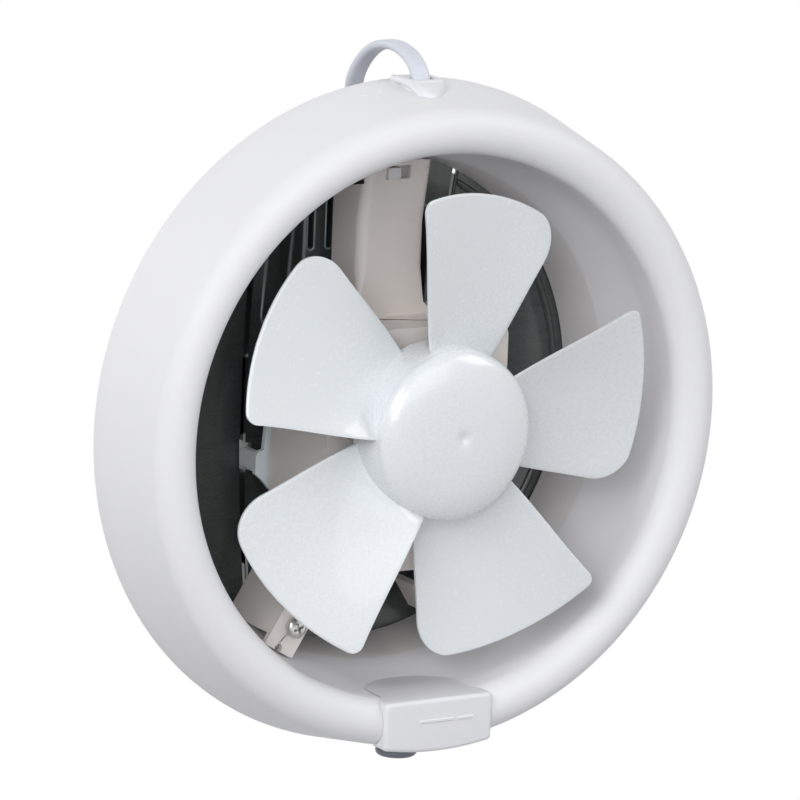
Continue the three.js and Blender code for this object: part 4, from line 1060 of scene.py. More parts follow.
@dataclass
class Housing:
    """Skirt, rolled lip and bell mouth in one moulding, with the lead's slot in its top."""

    lip: float = 106.0
    roll: float = 7.8
    depth: float = 36.0
    rear: float = 111.2
    wall: float = 2.4
    straight_end: float = -20.0
    seam: float = 84.6
    seam_y: float = 3.8
    cord_y: float = -11.0
    cord_hole: float = 1.5
    flex: Flat = (6.4, 3.2)
    flex_gap: float = 0.3
    bumps: Corners = ((-21.0, -9.0), (-17.5, -12.0), (-14.5, -8.0), (14.5, -7.0), (18.0, -11.0))
    dome: Corners = ((0.0, 0.22), (0.35, 0.19), (0.7, 0.08), (0.95, -0.2), (0.95, -1.2), (0.0, -1.2))
    segments: int = 220

    @property
    def centre(self) -> Flat:
        """Middle of the roll's section."""
        return self.lip - self.roll, self.roll - self.depth

    def bell(self, y: float) -> float:
        """Inside radius of the bell.

        Args:
            y: distance from the glass.

        Returns:
            The radius.
        """
        t = min(max((y - self.straight_end) / (self.seam_y - self.straight_end), 0), 1)
        straight = self.lip - 2 * self.roll
        return self.seam + (straight - self.seam) * math.cos(t * QUARTER_TURN)

    def tangent(self, radius: float, roll: float) -> float:
        """Angle at which the line to the glass leaves the roll."""
        dr, dy = radius - self.centre[0], -self.centre[1]
        return math.atan2(dy, dr) - math.acos(roll / math.hypot(dr, dy))

    def skirt(self, y: float) -> float:
        """Outside radius of the skirt at a distance from the glass."""
        return self.rear - y * math.tan(self.tangent(self.rear, self.roll))

    def surface(self, inset: float, lip_steps: int = 30, bell_steps: int = 22) -> Outline:
        """Outline from the glass round the lip to the seam.

        Args:
            inset: how far it lies inside the wall; less than 0 is outside it.
            lip_steps: edges round the lip.
            bell_steps: edges along the bell.

        Returns:
            The [radius, y] outline.
        """
        roll, (middle, middle_y) = self.roll - inset, self.centre
        start = self.tangent(self.rear - inset, roll)
        turns = [start + (-math.pi - start) * i / lip_steps for i in range(lip_steps + 1)]
        lip = [(middle + roll * math.cos(turn), middle_y + roll * math.sin(turn)) for turn in turns]
        first, steps = (self.rear - inset, 0.0), 5
        skirt = [tuple(a + (b - a) * i / steps for a, b in zip(first, lip[0])) for i in range(steps)]
        rows = [self.straight_end + (self.seam_y - self.straight_end) * i / bell_steps
                for i in range(bell_steps + 1)]
        return skirt + lip + [(self.bell(y) + inset, y) for y in rows]

    def envelope(self, clearance: float) -> Shape:
        """Solid that fills the housing's section.

        Args:
            clearance: how far it stands off the skin.

        Returns:
            The solid.
        """
        behind = self.seam_y + 20
        outline = self.surface(-clearance)
        return revolved(outline + [(self.seam - clearance, behind), (self.rear + clearance, behind)])

    def shell(self) -> bpy.types.Object:
        """Makes the moulding, with the slot for the lead and the hole for the pull cord.

        Returns:
            The moulding.
        """
        rear_edge = [(self.rear - 0.5, 0.0), (self.rear - 0.12, -0.12), (self.rear - 0.09, -0.5)]
        inner = list(reversed(self.surface(self.wall, 16, 10)))
        shell = revolved(rear_edge + self.surface(0)[1:] + inner, self.segments).made("housing_shell")
        exit_z = self.skirt(self.cord_y)
        (w, t), gap = self.flex, self.flex_gap
        slot = boxed((-w / 2 - gap, self.cord_y - t / 2 - gap, exit_z - 5),
                     (w / 2 + gap, self.cord_y + t / 2 + 3 * gap, exit_z + 8))
        carve(shell, slot.made("slot"))
        hole = rod(Axis.Z, self.cord_hole, -exit_z - 3, -exit_z + 6, (0, self.cord_y))
        return carve(shell, hole.made("hole"))

    def bump_row(self) -> Shape:
        """The small domes on the skirt beside the clamp.

        Returns:
            All of them, upright on the skirt.
        """
        bumps = Shape()
        for x, y in self.bumps:
            height = math.sqrt(self.skirt(y) ** 2 - x ** 2)
            lean = Matrix.Rotation(math.atan2(x, height), 4, "Y")
            bump = revolved(self.dome, segments=24).upright()
            bumps.add(bump.placed(Matrix.Translation((x, y, height)) @ lean))
        return bumps

    def build(self, palette: Palette) -> None:
        """Makes the moulding and its bumps."""
        put(self.shell(), palette, Finish.HOUSING, "frame", "front_housing")
        put(self.bump_row().made("housing_bumps"), palette, Finish.HOUSING, "frame", "front_housing")


@dataclass
class LeadClamp:
    """Milky scoop on the skirt that holds the lead where it leaves, with a bead along its left wall."""

    housing: Housing
    foot: Corners = (
        (-6.2, -1.6), (-6.2, -8.0), (-6.1, -14.0), (-5.5, -17.6), (-4.2, -20.0), (-2.0, -21.1), (0.4, -20.6),
        (3.0, -18.8), (5.6, -16.0), (8.0, -12.8), (9.4, -10.0), (9.9, -7.0), (9.9, -1.6),
    )
    rim: Corners = (
        (-5.5, -1.9), (-5.5, -7.0), (-5.5, -11.6), (-5.4, -13.2), (-4.8, -14.2), (-3.4, -14.6), (-0.6, -14.7),
        (2.4, -14.7), (4.9, -14.5), (6.3, -13.7), (7.0, -12.2), (7.2, -8.0), (7.2, -1.9),
    )
    rim_middle: float = 0.8
    bottom: float = 100.0
    shoulder: float = 106.6
    top: float = 112.1
    lean: float = math.radians(62)
    bead: tuple[tuple[float, float, float, float], ...] = (
        (-5.7, -1.6, 111.2, 1.2), (-5.7, -6.0, 111.3, 1.3), (-5.7, -10.0, 111.2, 1.35),
        (-5.6, -13.0, 110.7, 1.35), (-5.3, -15.4, 109.8, 1.3), (-4.9, -17.4, 108.6, 1.2),
        (-4.4, -18.9, 107.3, 1.0),
    )
    clearance: float = 0.06
    pocket_depth: float = 2.6

    def scoop(self) -> Shape:
        """Upright lug whose front leans back to a straight rim.

        Returns:
            The lug before it is cut.
        """
        rings = [[(x, y, self.bottom) for x, y in self.foot]]
        steps = 8
        for i in range(steps + 1):
            turn = self.lean * i / steps
            share = (1 - math.cos(turn)) / (1 - math.cos(self.lean))
            z = self.shoulder + (self.top - 0.4 - self.shoulder) * math.sin(turn) / math.sin(self.lean)
            rings.append([(a + (c - a) * share, b + (d - b) * share, z)
                          for (a, b), (c, d) in zip(self.foot, self.rim)])
        for inset, drop in ((0.12, 0.12), (0.4, 0.0)):
            rings.append([(x - math.copysign(inset, x - self.rim_middle), y + inset, self.top - drop)
                          for x, y in self.rim])
        return lofted([bent(ring) for ring in rings])

    def build(self, palette: Palette) -> None:
        """Makes the scoop with its bead and the pocket that the flex comes out of.

        Args:
            palette: where finishes come from.
        """
        tongue = self.scoop().made("lead_tongue")
        rings = [[(x + u, y, z + v) for u, v in circle(radius, 20)] for x, y, z, radius in self.bead]
        carve(tongue, lofted(rings).made("bead"), Cut.JOIN)
        carve(tongue, self.housing.envelope(self.clearance).made("envelope"))
        (w, t), gap, y = self.housing.flex, self.housing.flex_gap, self.housing.cord_y
        outline = rounded(-w / 2 - gap, self.bottom, w / 2 + gap + 1, self.bottom + 20, 0.3, 2)
        carve(tongue, plate(outline, y - t / 2 - gap, y + t / 2 + self.pocket_depth).made("pocket"))
        put(tongue, palette, Finish.MILKY, "frame", "lead_clamp")


@dataclass
class Controls:
    """Block over the lip, the switch in the hollow behind it, the pull cord and its knob."""

    housing: Housing
    half: float = 20.5
    top: float = -88.5
    front: float = -37.6
    corner: float = 1.6
    edge: float = 1.5
    corner_steps: int = 6
    clearance: float = 0.25
    marks: Corners = ((-7.5, 5.5), (7.0, 13.0))
    marks_z: Flat = (-96.3, -95.3)
    mark_taper: float = 0.2
    knob_radius: float = 7.0
    knob_top: float = -110.78
    knob_roll: float = 1.5
    cord_top: float = -95.0
    cord_radius: float = 0.9
    cord_twist: float = 0.9

    def face(self, inset: float) -> Outline:
        """Outline of the block's front, its foot on the lip's circle.

        Args:
            inset: how far it is shrunk.

        Returns:
            The [x, z] outline.
        """
        foot, corner = self.housing.lip + 0.5 - inset, self.corner
        half, top = self.half - inset, self.top - inset
        reach = half - corner
        low = -math.sqrt(foot ** 2 - reach ** 2)
        outline: Outline = []
        steps, foot_steps = self.corner_steps, 32
        for side in (1, -1):
            for i in range(steps + 1):
                turn = QUARTER_TURN * (i / steps if side > 0 else 1 - i / steps)
                outline.append((side * (half - corner + corner * math.cos(turn)),
                                top - corner + corner * math.sin(turn)))
        turns = [QUARTER_TURN * i / steps for i in range(1, steps)]
        outline += [(-reach - corner * math.cos(a), low + corner - corner * math.sin(a)) for a in turns]
        for x in (-reach + 2 * reach * i / foot_steps for i in range(foot_steps + 1)):
            outline.append((x, -math.sqrt(foot ** 2 - x ** 2)))
        outline += [(reach + corner * math.cos(a), low + corner - corner * math.sin(a)) for a in turns[::-1]]
        return outline

    def block(self) -> bpy.types.Object:
        """Makes the block with a rolled front edge and its two raised marks.

        Returns:
            The block.
        """
        rings = [[(x, self.housing.seam_y - 8, z) for x, z in self.face(0)]]
        for turn in (QUARTER_TURN * i / self.corner_steps for i in range(self.corner_steps + 1)):
            y = self.front + self.edge * (1 - math.sin(turn))
            rings.append([(x, y, z) for x, z in self.face(self.edge * (1 - math.cos(turn)))])
        block = lofted(rings).made("control_cover")
        carve(block, self.housing.envelope(self.clearance).made("envelope"))
        marks, (z0, z1), taper = Shape(), self.marks_z, self.mark_taper
        for x0, x1 in self.marks:
            outer = rounded(x0, z0, x1, z1, 0.45, 4)
            inner = rounded(x0 + taper, z0 + taper, x1 - taper, z1 - taper, 0.28, 4)
            marks.add(lofted([[(x, self.front + y, z) for x, z in outline]
                              for outline, y in ((outer, 0.5), (outer, -0.25), (inner, -0.45))]))
        return carve(block, marks.made("marks"), Cut.JOIN)

    def knob(self) -> Shape:
        """The pull knob, a flat button with a rolled rim and a dished foot.

        Returns:
            The knob below its cord.
        """
        top, r, roll = self.knob_top, self.knob_radius, self.knob_roll
        outline: Outline = [(0, top - 2.9), (r * 0.55, top - 3.0), (r * 0.68, top - 3.4)]
        for i in range(9):
            turn = -QUARTER_TURN + math.pi * i / 8
            outline.append((r - roll + roll * math.cos(turn), top - 1.9 + roll * math.sin(turn)))
        outline += [(r * 0.5, top - 0.1), (0, top)]
        return revolved(outline, segments=48).upright().moved(0, self.housing.cord_y, 0)

    def cord(self) -> Shape:
        """The pull cord, three twisted strands seen as one lobed section.

        Returns:
            The stretch from inside the knob up into the switch.
        """
        rings, steps, r = [], 59, self.cord_radius
        for i in range(steps + 1):
            z = self.knob_top - 1 + (self.cord_top - self.knob_top) * i / steps
            twist = i * self.cord_twist
            rings.append([(r * math.cos(a + twist) * (1 + 0.12 * math.cos(3 * a)),
                           self.housing.cord_y + r * math.sin(a + twist) * (1 + 0.12 * math.cos(3 * a)), z)
                          for a in (FULL_TURN * k / 12 for k in range(12))])
        return lofted(rings)

    def build(self, palette: Palette) -> None:
        """Makes the block, the switch and the knob on its cord.

        Args:
            palette: where finishes come from.
        """
        put(self.block(), palette, Finish.MILKY, "frame", "control_block")
        switch = round_edges(copied("cord_switch", "pull_switch"), width=0.5)
        put(switch, palette, Finish.DARK, "frame", "cord_switch")
        knob = self.knob()
        knob.add(self.cord())
        put(knob.made("pull_button"), palette, Finish.DARK, "pull", "pull_knob")


# ---- Duct, gasket and clips ----


@dataclass
class Duct:
    """Tube behind the housing with its flange, feet posts, hook, gasket and window clips."""

    outside: float = 91.0
    end: float = 82.5
    end_y: float = 26.0
    step: float = 84.8
    step_y: float = 4.1
    wall: float = 1.5
    flange: float = 107.8
    flange_rear: float = -2.5
    foot: Flat = (38.7, -67.8)
    post: Corners = ((0, -5.7), (4.1, -5.7), (4.5, -5.3), (4.7, 14), (0, 14))
    post_hole: float = 2.1
    web: Corners = ((-1.5, 0), (1.5, 0), (1.5, 8.2), (-1.5, 8.2))
    fitting_y: Flat = (5.0, 14.0)
    hook_wall: Corners = ((-7, 75.2), (7, 75.2), (7, 84.2), (-7, 84.2))
    hook: tuple[Point, Point] = ((-5, -0.2, 77.5), (-0.4, 6, 81.1))
    gasket: Corners = ((92.4, -2.2), (106.8, -2.2), (107.2, -1.8), (107.2, -0.3), (106.9, 0),
                                (92.3, 0), (92, -0.3), (92, -1.8))
    clips: tuple[tuple[str, float], ...] = (
        ("upper_right", 50), ("upper_left", 130), ("lower_left", 230), ("lower_right", 310))
    clip_y: float = 12.0
    clip_thickness: float = 2.1
    screw: PanScrew = PanScrew(radius=1.6, head_radius=3.2, head_height=2.0, length=7.0)

    def profile(self) -> Outline:
        """Section of the tube with softened rims.

        Returns:
            The [radius, y] outline.
        """
        front = self.flange_rear - 2.5
        groove = self.outside - self.wall
        return [
            (self.outside, front), (self.flange - 0.3, front), (self.flange, front + 0.3),
            (self.flange, self.flange_rear - 0.2), (self.flange - 0.2, self.flange_rear),
            (self.outside + 0.4, self.flange_rear), (self.outside, self.flange_rear + 0.4),
            (self.outside, self.end_y - 0.5), (self.outside - 0.5, self.end_y),
            (self.end + 0.4, self.end_y), (self.end, self.end_y - 0.4),
            (self.step - 0.03, self.step_y + 0.3), (self.step + 0.2, self.step_y),
            (groove, self.step_y), (groove, self.flange_rear + 0.5),
        ]

    def fittings(self) -> bpy.types.Object:
        """Makes the two posts for the bracket's feet with their webs, and the hook for its top arm.

        Returns:
            The fittings, drilled and rounded.
        """
        x, z = self.foot
        out = Vector((x, z)).normalized()
        fittings, holes = Shape(), Shape()
        for sign in (-1, 1):
            fittings.add(revolved(self.post, segments=40).moved(sign * x, 0, z))
            web = [(sign * (x + out.x * d - out.y * s), z + out.y * d + out.x * s) for s, d in self.web]
            fittings.add(plate(web, *self.fitting_y))
            holes.add(rod(Axis.Y, self.post_hole, -7, 11, (sign * x, z)))
        fittings.add(plate(self.hook_wall, *self.fitting_y))
        fittings.add(boxed(*self.hook))
        drilled = carve(fittings.made("duct_fittings"), holes.made("holes"))
        return round_edges(drilled, width=0.3, angle=40)

    def build(self, palette: Palette) -> None:
        """Makes the tube, its fittings, the gasket, the clips and their screws.

        Args:
            palette: where finishes come from.
        """
        tube = revolved(self.profile(), segments=220).made("duct_tube")
        put(tube, palette, Finish.DUCT, "frame", "rear_duct")
        put(self.fittings(), palette, Finish.DUCT, "frame", "rear_duct")
        gasket = revolved(self.gasket, segments=200).made("foam_ring")
        put(gasket, palette, Finish.FOAM, "frame", "window_gasket")
        for corner, angle in self.clips:
            clip = round_edges(copied(f"window_clip_{corner}", f"clip_{corner}"), width=0.35, segments=3)
            put(clip, palette, Finish.STEEL, "frame", f"window_clip_{corner}")
            seat = Matrix.Translation((0, self.clip_y, self.outside + self.clip_thickness))
            turn = Matrix.Rotation(math.radians(90 - angle), 4, "Y")
            screw = self.screw.made(f"screw_clip_{corner}", turn @ seat)
            put(screw, palette, Finish.STEEL, "frame", f"clip_screw_{corner}")


# ---- Bracket and motor ----


@dataclass
class Bracket:
    """Three-armed motor bracket and the screws through its feet."""

    foot: Flat = (38.7, -67.8)
    foot_y: float = -8.3
    foot_half: float = 7.21
    screw: PanScrew = PanScrew()
    arm_angle: float = 32.0
    reach: float = 84.1
    duct_reach: float = 83.2
    arm_half: float = 12.5
    arm_y: float = 4.0
    arm_lean: float = 4.0
    lean_start: float = 62.0
    arm_end: float = 83.8
    arm_low: float = 36.0
    arm_roll: float = 3.6
    roll_start: float = 0.3
    margin: float = 1.5
    wall: float = 1.1
    wall_start: float = 36.0
    wall_bend: Corners = (
        (-8.06, 1.4), (-7.95, 0.86), (-7.65, 0.41), (-7.2, 0.11), (-6.66, 0.0), (3.4, 0.0), (21.0, 0.0))

    def arm_front(self, z: float) -> float:
        """Front face of the top arm at a height, leaning forward towards its end."""
        return self.arm_y - self.arm_lean * max(0.0, (z - self.lean_start) / (self.arm_end - self.lean_start))

    def arm_rolls(self) -> Shape:
        """Cutters that roll the two long front edges of the top arm.

        Returns:
            Both cutters.
        """
        shape, steps = Shape(), 24
        for sign in (-1, 1):
            rings = []
            for i in range(steps + 1):
                z = self.arm_low + (self.arm_end + 3.0 - self.arm_low) * i / steps
                front = self.arm_front(z)
                roll = self.roll_start + (self.arm_roll - self.roll_start) * min(1.0, i / 5)
                ring = [(self.arm_half + self.margin, front + roll),
                        (self.arm_half + self.margin, front - self.margin),
                        (self.arm_half - roll, front - self.margin)]
                for turn in (QUARTER_TURN * k / 10 for k in range(11)):
                    ring.append((self.arm_half - roll + roll * math.sin(turn),
                                 front + roll - roll * math.cos(turn)))
                rings.append([(sign * x, y, z) for x, y in ring])
            shape.add(lofted(rings))
        return shape

    def foot_walls(self) -> Shape:
        """Walls that run back from the outer edges of the two feet, bent at the edge.

        Returns:
            Both walls, which end at the duct.
        """
        a = math.radians(self.arm_angle)
        down, out = Vector((math.sin(a), -math.cos(a))), Vector((math.cos(a), math.sin(a)))
        shape = Shape()
        for sign in (-1, 1):
            rings = []
            for y, fold in self.wall_bend:
                near = Vector(self.foot) + out * (self.foot_half - fold)
                limit = self.reach if y < self.arm_y else self.duct_reach
                along = near.dot(down)
                end = near + down * (math.sqrt(along ** 2 - near.length_squared + limit ** 2) - along)
                start = near - down * self.wall_start
                wall = out * self.wall
                rings.append([(sign * p.x, y, p.y) for p in (start, end, end - wall, start - wall)])
            shape.add(lofted(rings))
        return shape

    def build(self, palette: Palette) -> None:
        """Makes the bracket and the screws.

        Args:
            palette: where finishes come from.
        """
        bracket = copied("motor_bracket", "bracket_moulding")
        carve(bracket, self.arm_rolls().made("rolls"))
        round_edges(bracket, width=1.0, segments=4, angle=30)
        put(bracket, palette, Finish.BRACKET, "frame", "motor_bracket")
        walls = self.foot_walls().made("bracket_foot_walls")
        put(walls, palette, Finish.BRACKET, "frame", "motor_bracket")
        for side, sign in (("left", -1), ("right", 1)):
            seat = Matrix.Translation((sign * self.foot[0], self.foot_y, self.foot[1])) @ Y_TO_Z
            screw = self.screw.made(f"screw_foot_{side}", seat)
            put(screw, palette, Finish.STEEL, "frame", f"foot_screw_{side}")


@dataclass
class Motor:
    """Shaded-pole motor: core, winding, bearing straps, bolts, rotor and shaft."""

    bolt_x: float = 24.0
    bolt_y: float = 15.3
    bolt: PanScrew = PanScrew(radius=1.9, head_radius=3.4, head_height=2.2, length=28.3)
    coil_half: float = 16.0
    limb_z: Flat = (-42.3, -29.7)
    core_y: Flat = (-6.3, 10.3)
    wire: float = 0.36
    layers: int = 6
    layer_step: float = 0.7
    rotor: Corners = peg(13.0, -5.8, 9.8, 0.4)
    shaft: Corners = peg(2.5, -42.6, 17.0, 0.4)

    def winding(self, palette: Palette) -> bpy.types.Object:
        """Lays layers of wire round the lower limb of the core.

        Args:
            palette: where finishes come from.

        Returns:
            The winding.
        """
        made, tree = [], wire_tree()
        for layer in range(self.layers):
            grow = 0.5 + self.wire + layer * self.layer_step
            loop = rounded(self.core_y[0] - grow, self.limb_z[0] - grow, self.core_y[1] + grow,
                           self.limb_z[1] + grow, 1.0 + grow * 0.6, 4)
            x = -self.coil_half + (layer % 2) * self.wire
            mesh = bpy.data.meshes.new(f"loop_{layer}")
            mesh.from_pydata([(x * MM, y * MM, z * MM) for y, z in loop],
                             [(i, (i + 1) % len(loop)) for i in range(len(loop))], [])
            count = int((2 * self.coil_half - self.wire) / (2 * self.wire))
            made.append(tree.run(linked(f"loop_{layer}", mesh), Count=count, Pitch=2 * self.wire * MM,
                                 Wire=self.wire * MM, Material=palette[Finish.WINDING]))
        return joined(made, "copper_winding")

    def build(self, palette: Palette) -> None:
        """Makes the motor's pieces.

        Args:
            palette: where finishes come from.
        """
        core = round_edges(copied("motor_core", "core_stack"), width=0.25)
        put(core, palette, Finish.LAMINATION, "frame", "motor_core")
        put(self.winding(palette), palette, Finish.WINDING, "frame", "motor_coil")
        for end in ("front", "rear"):
            strap = round_edges(copied(f"bearing_strap_{end}", f"strap_{end}"), width=0.4)
            put(strap, palette, Finish.ALLOY, "frame", f"bearing_strap_{end}")
        for side, sign in (("left", -1), ("right", 1)):
            seat = Matrix.Translation((sign * self.bolt_x, self.bolt_y, 0)) @ Z_TO_Y
            bolt = self.bolt.made(f"bolt_{side}", seat)
            put(bolt, palette, Finish.STEEL, "frame", f"motor_bolt_{side}")
        rotor = revolved(self.rotor, segments=72)
        rotor.add(revolved(self.shaft, segments=32))
        put(rotor.made("rotor_and_shaft"), palette, Finish.LAMINATION, "rotor", "motor_rotor")


# ---- Impeller ----


@dataclass
class Impeller:
    """Five twisted blades on a hub, the nut and the domed cap."""

    blades: int = 5
    tip: float = 78.3
    hub: float = 28.2
    hub_front: float = -38.0
    hub_rear: float = -22.0
    bore: float = 2.75
    boss: float = 7.0
    lead_angle: float = 101.0
    lead_sweep: float = 7.0
    spans: Flat = (64.5, 48.5)
    lead_y: Flat = (-36.6, -39.5)
    trail_y: Flat = (-24.0, -25.0)
    camber: float = 2.2
    thickness: float = 1.6
    root_growth: Flat = (1.1, 1.3)
    tip_taper: float = 0.8
    corners: Flat = (4.0, 13.0)
    section_steps: int = 44
    rib_half: float = 0.9
    cap_height: float = 7.5
    cap_wall: float = 1.8
    cap_curve: Flat = (2.8, 2.2)
    dimple: Flat = (1.05, 1.75)

    def edges(self, radius: float) -> Flat:
        """Angles of a blade's leading and trailing edge in degrees.

        Args:
            radius: where they are taken.

        Returns:
            The two angles.
        """
        inner = (1 - (radius - self.hub) / (self.tip - self.hub)) ** 2
        lead = self.lead_angle + self.lead_sweep * inner
        return lead, lead - (self.spans[1] + (self.spans[0] - self.spans[1]) * inner)

    def inset(self, radius: float, corner: float) -> float:
        """How far a rounded tip corner pulls an edge in, in degrees."""
        over = max(radius - (self.tip - corner), 0.0)
        return math.degrees((corner - math.sqrt(max(corner ** 2 - over ** 2, 0))) / radius)

    def fatness(self, radius: float) -> float:
        """Thickness of a blade, grown at the root and rounded off at the tip.

        Args:
            radius: where it is taken.

        Returns:
            The thickness.
        """
        grown, fade = self.root_growth
        fat = self.thickness * (1 + grown * math.exp(-max(radius - self.hub, 0) / fade))
        left = self.tip - radius
        if left < self.tip_taper:
            fat *= math.sqrt(max(1 - (1 - left / self.tip_taper) ** 2, 0.02))
        return fat

    def section(self, radius: float) -> list[Point]:
        """Rounded, cambered section of a blade.

        Args:
            radius: where it is cut.

        Returns:
            The ring of points, which lies on a cylinder about the axis.
        """
        lead, trail = self.edges(radius)
        lead_in, trail_in = self.inset(radius, self.corners[0]), self.inset(radius, self.corners[1])
        t = min(max((radius - self.hub) / (self.tip - self.hub), 0), 1)
        lead_y = self.lead_y[0] + (self.lead_y[1] - self.lead_y[0]) * t
        trail_y = self.trail_y[0] + (self.trail_y[1] - self.trail_y[0]) * t
        fat = self.fatness(radius)
        ring = []
        for i in range(self.section_steps):
            turn = FULL_TURN * (i + 0.5) / self.section_steps
            along = 0.5 - 0.5 * squared(math.cos(turn), 0.75)
            side = squared(math.sin(turn), 0.22)
            angle = (lead - lead_in) + (trail + trail_in - lead + lead_in) * along
            share = (lead - angle) / (lead - trail)
            y = lead_y + (trail_y - lead_y) * share + self.camber * 4 * share * (1 - share)
            a = math.radians(angle)
            ring.append((radius * math.cos(a), y + side * fat / 2, radius * math.sin(a)))
        return ring

    def blade(self) -> Shape:
        """One blade as a loft of sections from inside the hub's wall to the tip.

        Returns:
            The blade.
        """
        root, bend = self.hub - 1.6, self.tip - self.corners[1]
        radii = [root + (bend - root) * i / 16 for i in range(16)]
        radii += [bend + self.corners[1] * math.sin(QUARTER_TURN * i / 22) for i in range(23)]
        return lofted([self.section(radius) for radius in radii])

    def hub_shape(self) -> Shape:
        """Cup-shaped hub with its boss and a soft front edge.

        Returns:
            The hub.
        """
        f, r, h = self.hub_front, self.hub_rear, self.hub
        return revolved([
            (self.bore, f), (h - 0.7, f), (h - 0.2, f + 0.2), (h, f + 0.7), (h, r - 0.4), (h - 0.4, r),
            (h - 1.6, r), (h - 2, r - 0.4), (h - 2, f + 3), (h - 3, f + 2), (self.boss + 1, f + 2),
            (self.boss, f + 3), (self.boss, r + 1.6), (self.boss - 0.4, r + 2), (self.bore, r + 2),
        ], segments=128)

    def ribs(self) -> Shape:
        """Flat ribs between the boss and the hub's wall.

        Returns:
            All of them.
        """
        half = self.rib_half
        rib = boxed((self.boss - 0.8, self.hub_front + 1, -half), (self.hub - 1, self.hub_rear - 3, half))
        ribs = Shape()
        for i in range(self.blades):
            ribs.add(rib.placed(Matrix.Rotation(-FULL_TURN * i / self.blades, 4, "Y")))
        return ribs

    def rise(self, share: float, height: float) -> float:
        """Height of a dome at a share of its radius."""
        bow, fall = self.cap_curve
        return height * (1 - share ** bow) ** (1 / fall) if share < 1 else 0.0

    def cap_shape(self) -> Shape:
        """Shallow dome with a rounded rim and a small dimple in the middle.

        Returns:
            The cap, hollow behind.
        """
        base, (depth, width) = self.hub_front - 0.3, self.dimple
        outline: Outline = []
        steps = 36
        for i in range(steps + 1):
            share = math.sin(QUARTER_TURN * (1 - i / steps))
            radius = self.hub * share if i < steps else 0.0
            dip = depth * math.exp(-((radius / width) ** 2)) if radius < 6 else 0.0
            outline.append((radius, base - self.rise(share, self.cap_height) + dip))
        for i in range(13):
            share = math.sin(QUARTER_TURN * i / 12)
            outline.append(((self.hub - self.cap_wall) * share,
                            base - self.rise(share, self.cap_height - self.cap_wall)))
        return revolved(outline, segments=128)

    def build(self, palette: Palette) -> None:
        """Makes the impeller, the nut and the cap.

        Args:
            palette: where finishes come from.
        """
        blades = self.blade().made("blades")
        ring_tree().run(blades, Count=self.blades, Material=palette[Finish.IMPELLER])
        impeller = joined([blades, self.hub_shape().made("hub"), self.ribs().made("ribs")],
                          "impeller_moulding")
        put(impeller, palette, Finish.IMPELLER, "rotor", "impeller")
        nut = round_edges(copied("impeller_nut", "shaft_nut"), width=0.25)
        put(nut, palette, Finish.BRASS, "rotor", "impeller_nut")
        put(self.cap_shape().made("domed_cap"), palette, Finish.IMPELLER, "rotor", "hub_cap")


# ---- Shutter ----


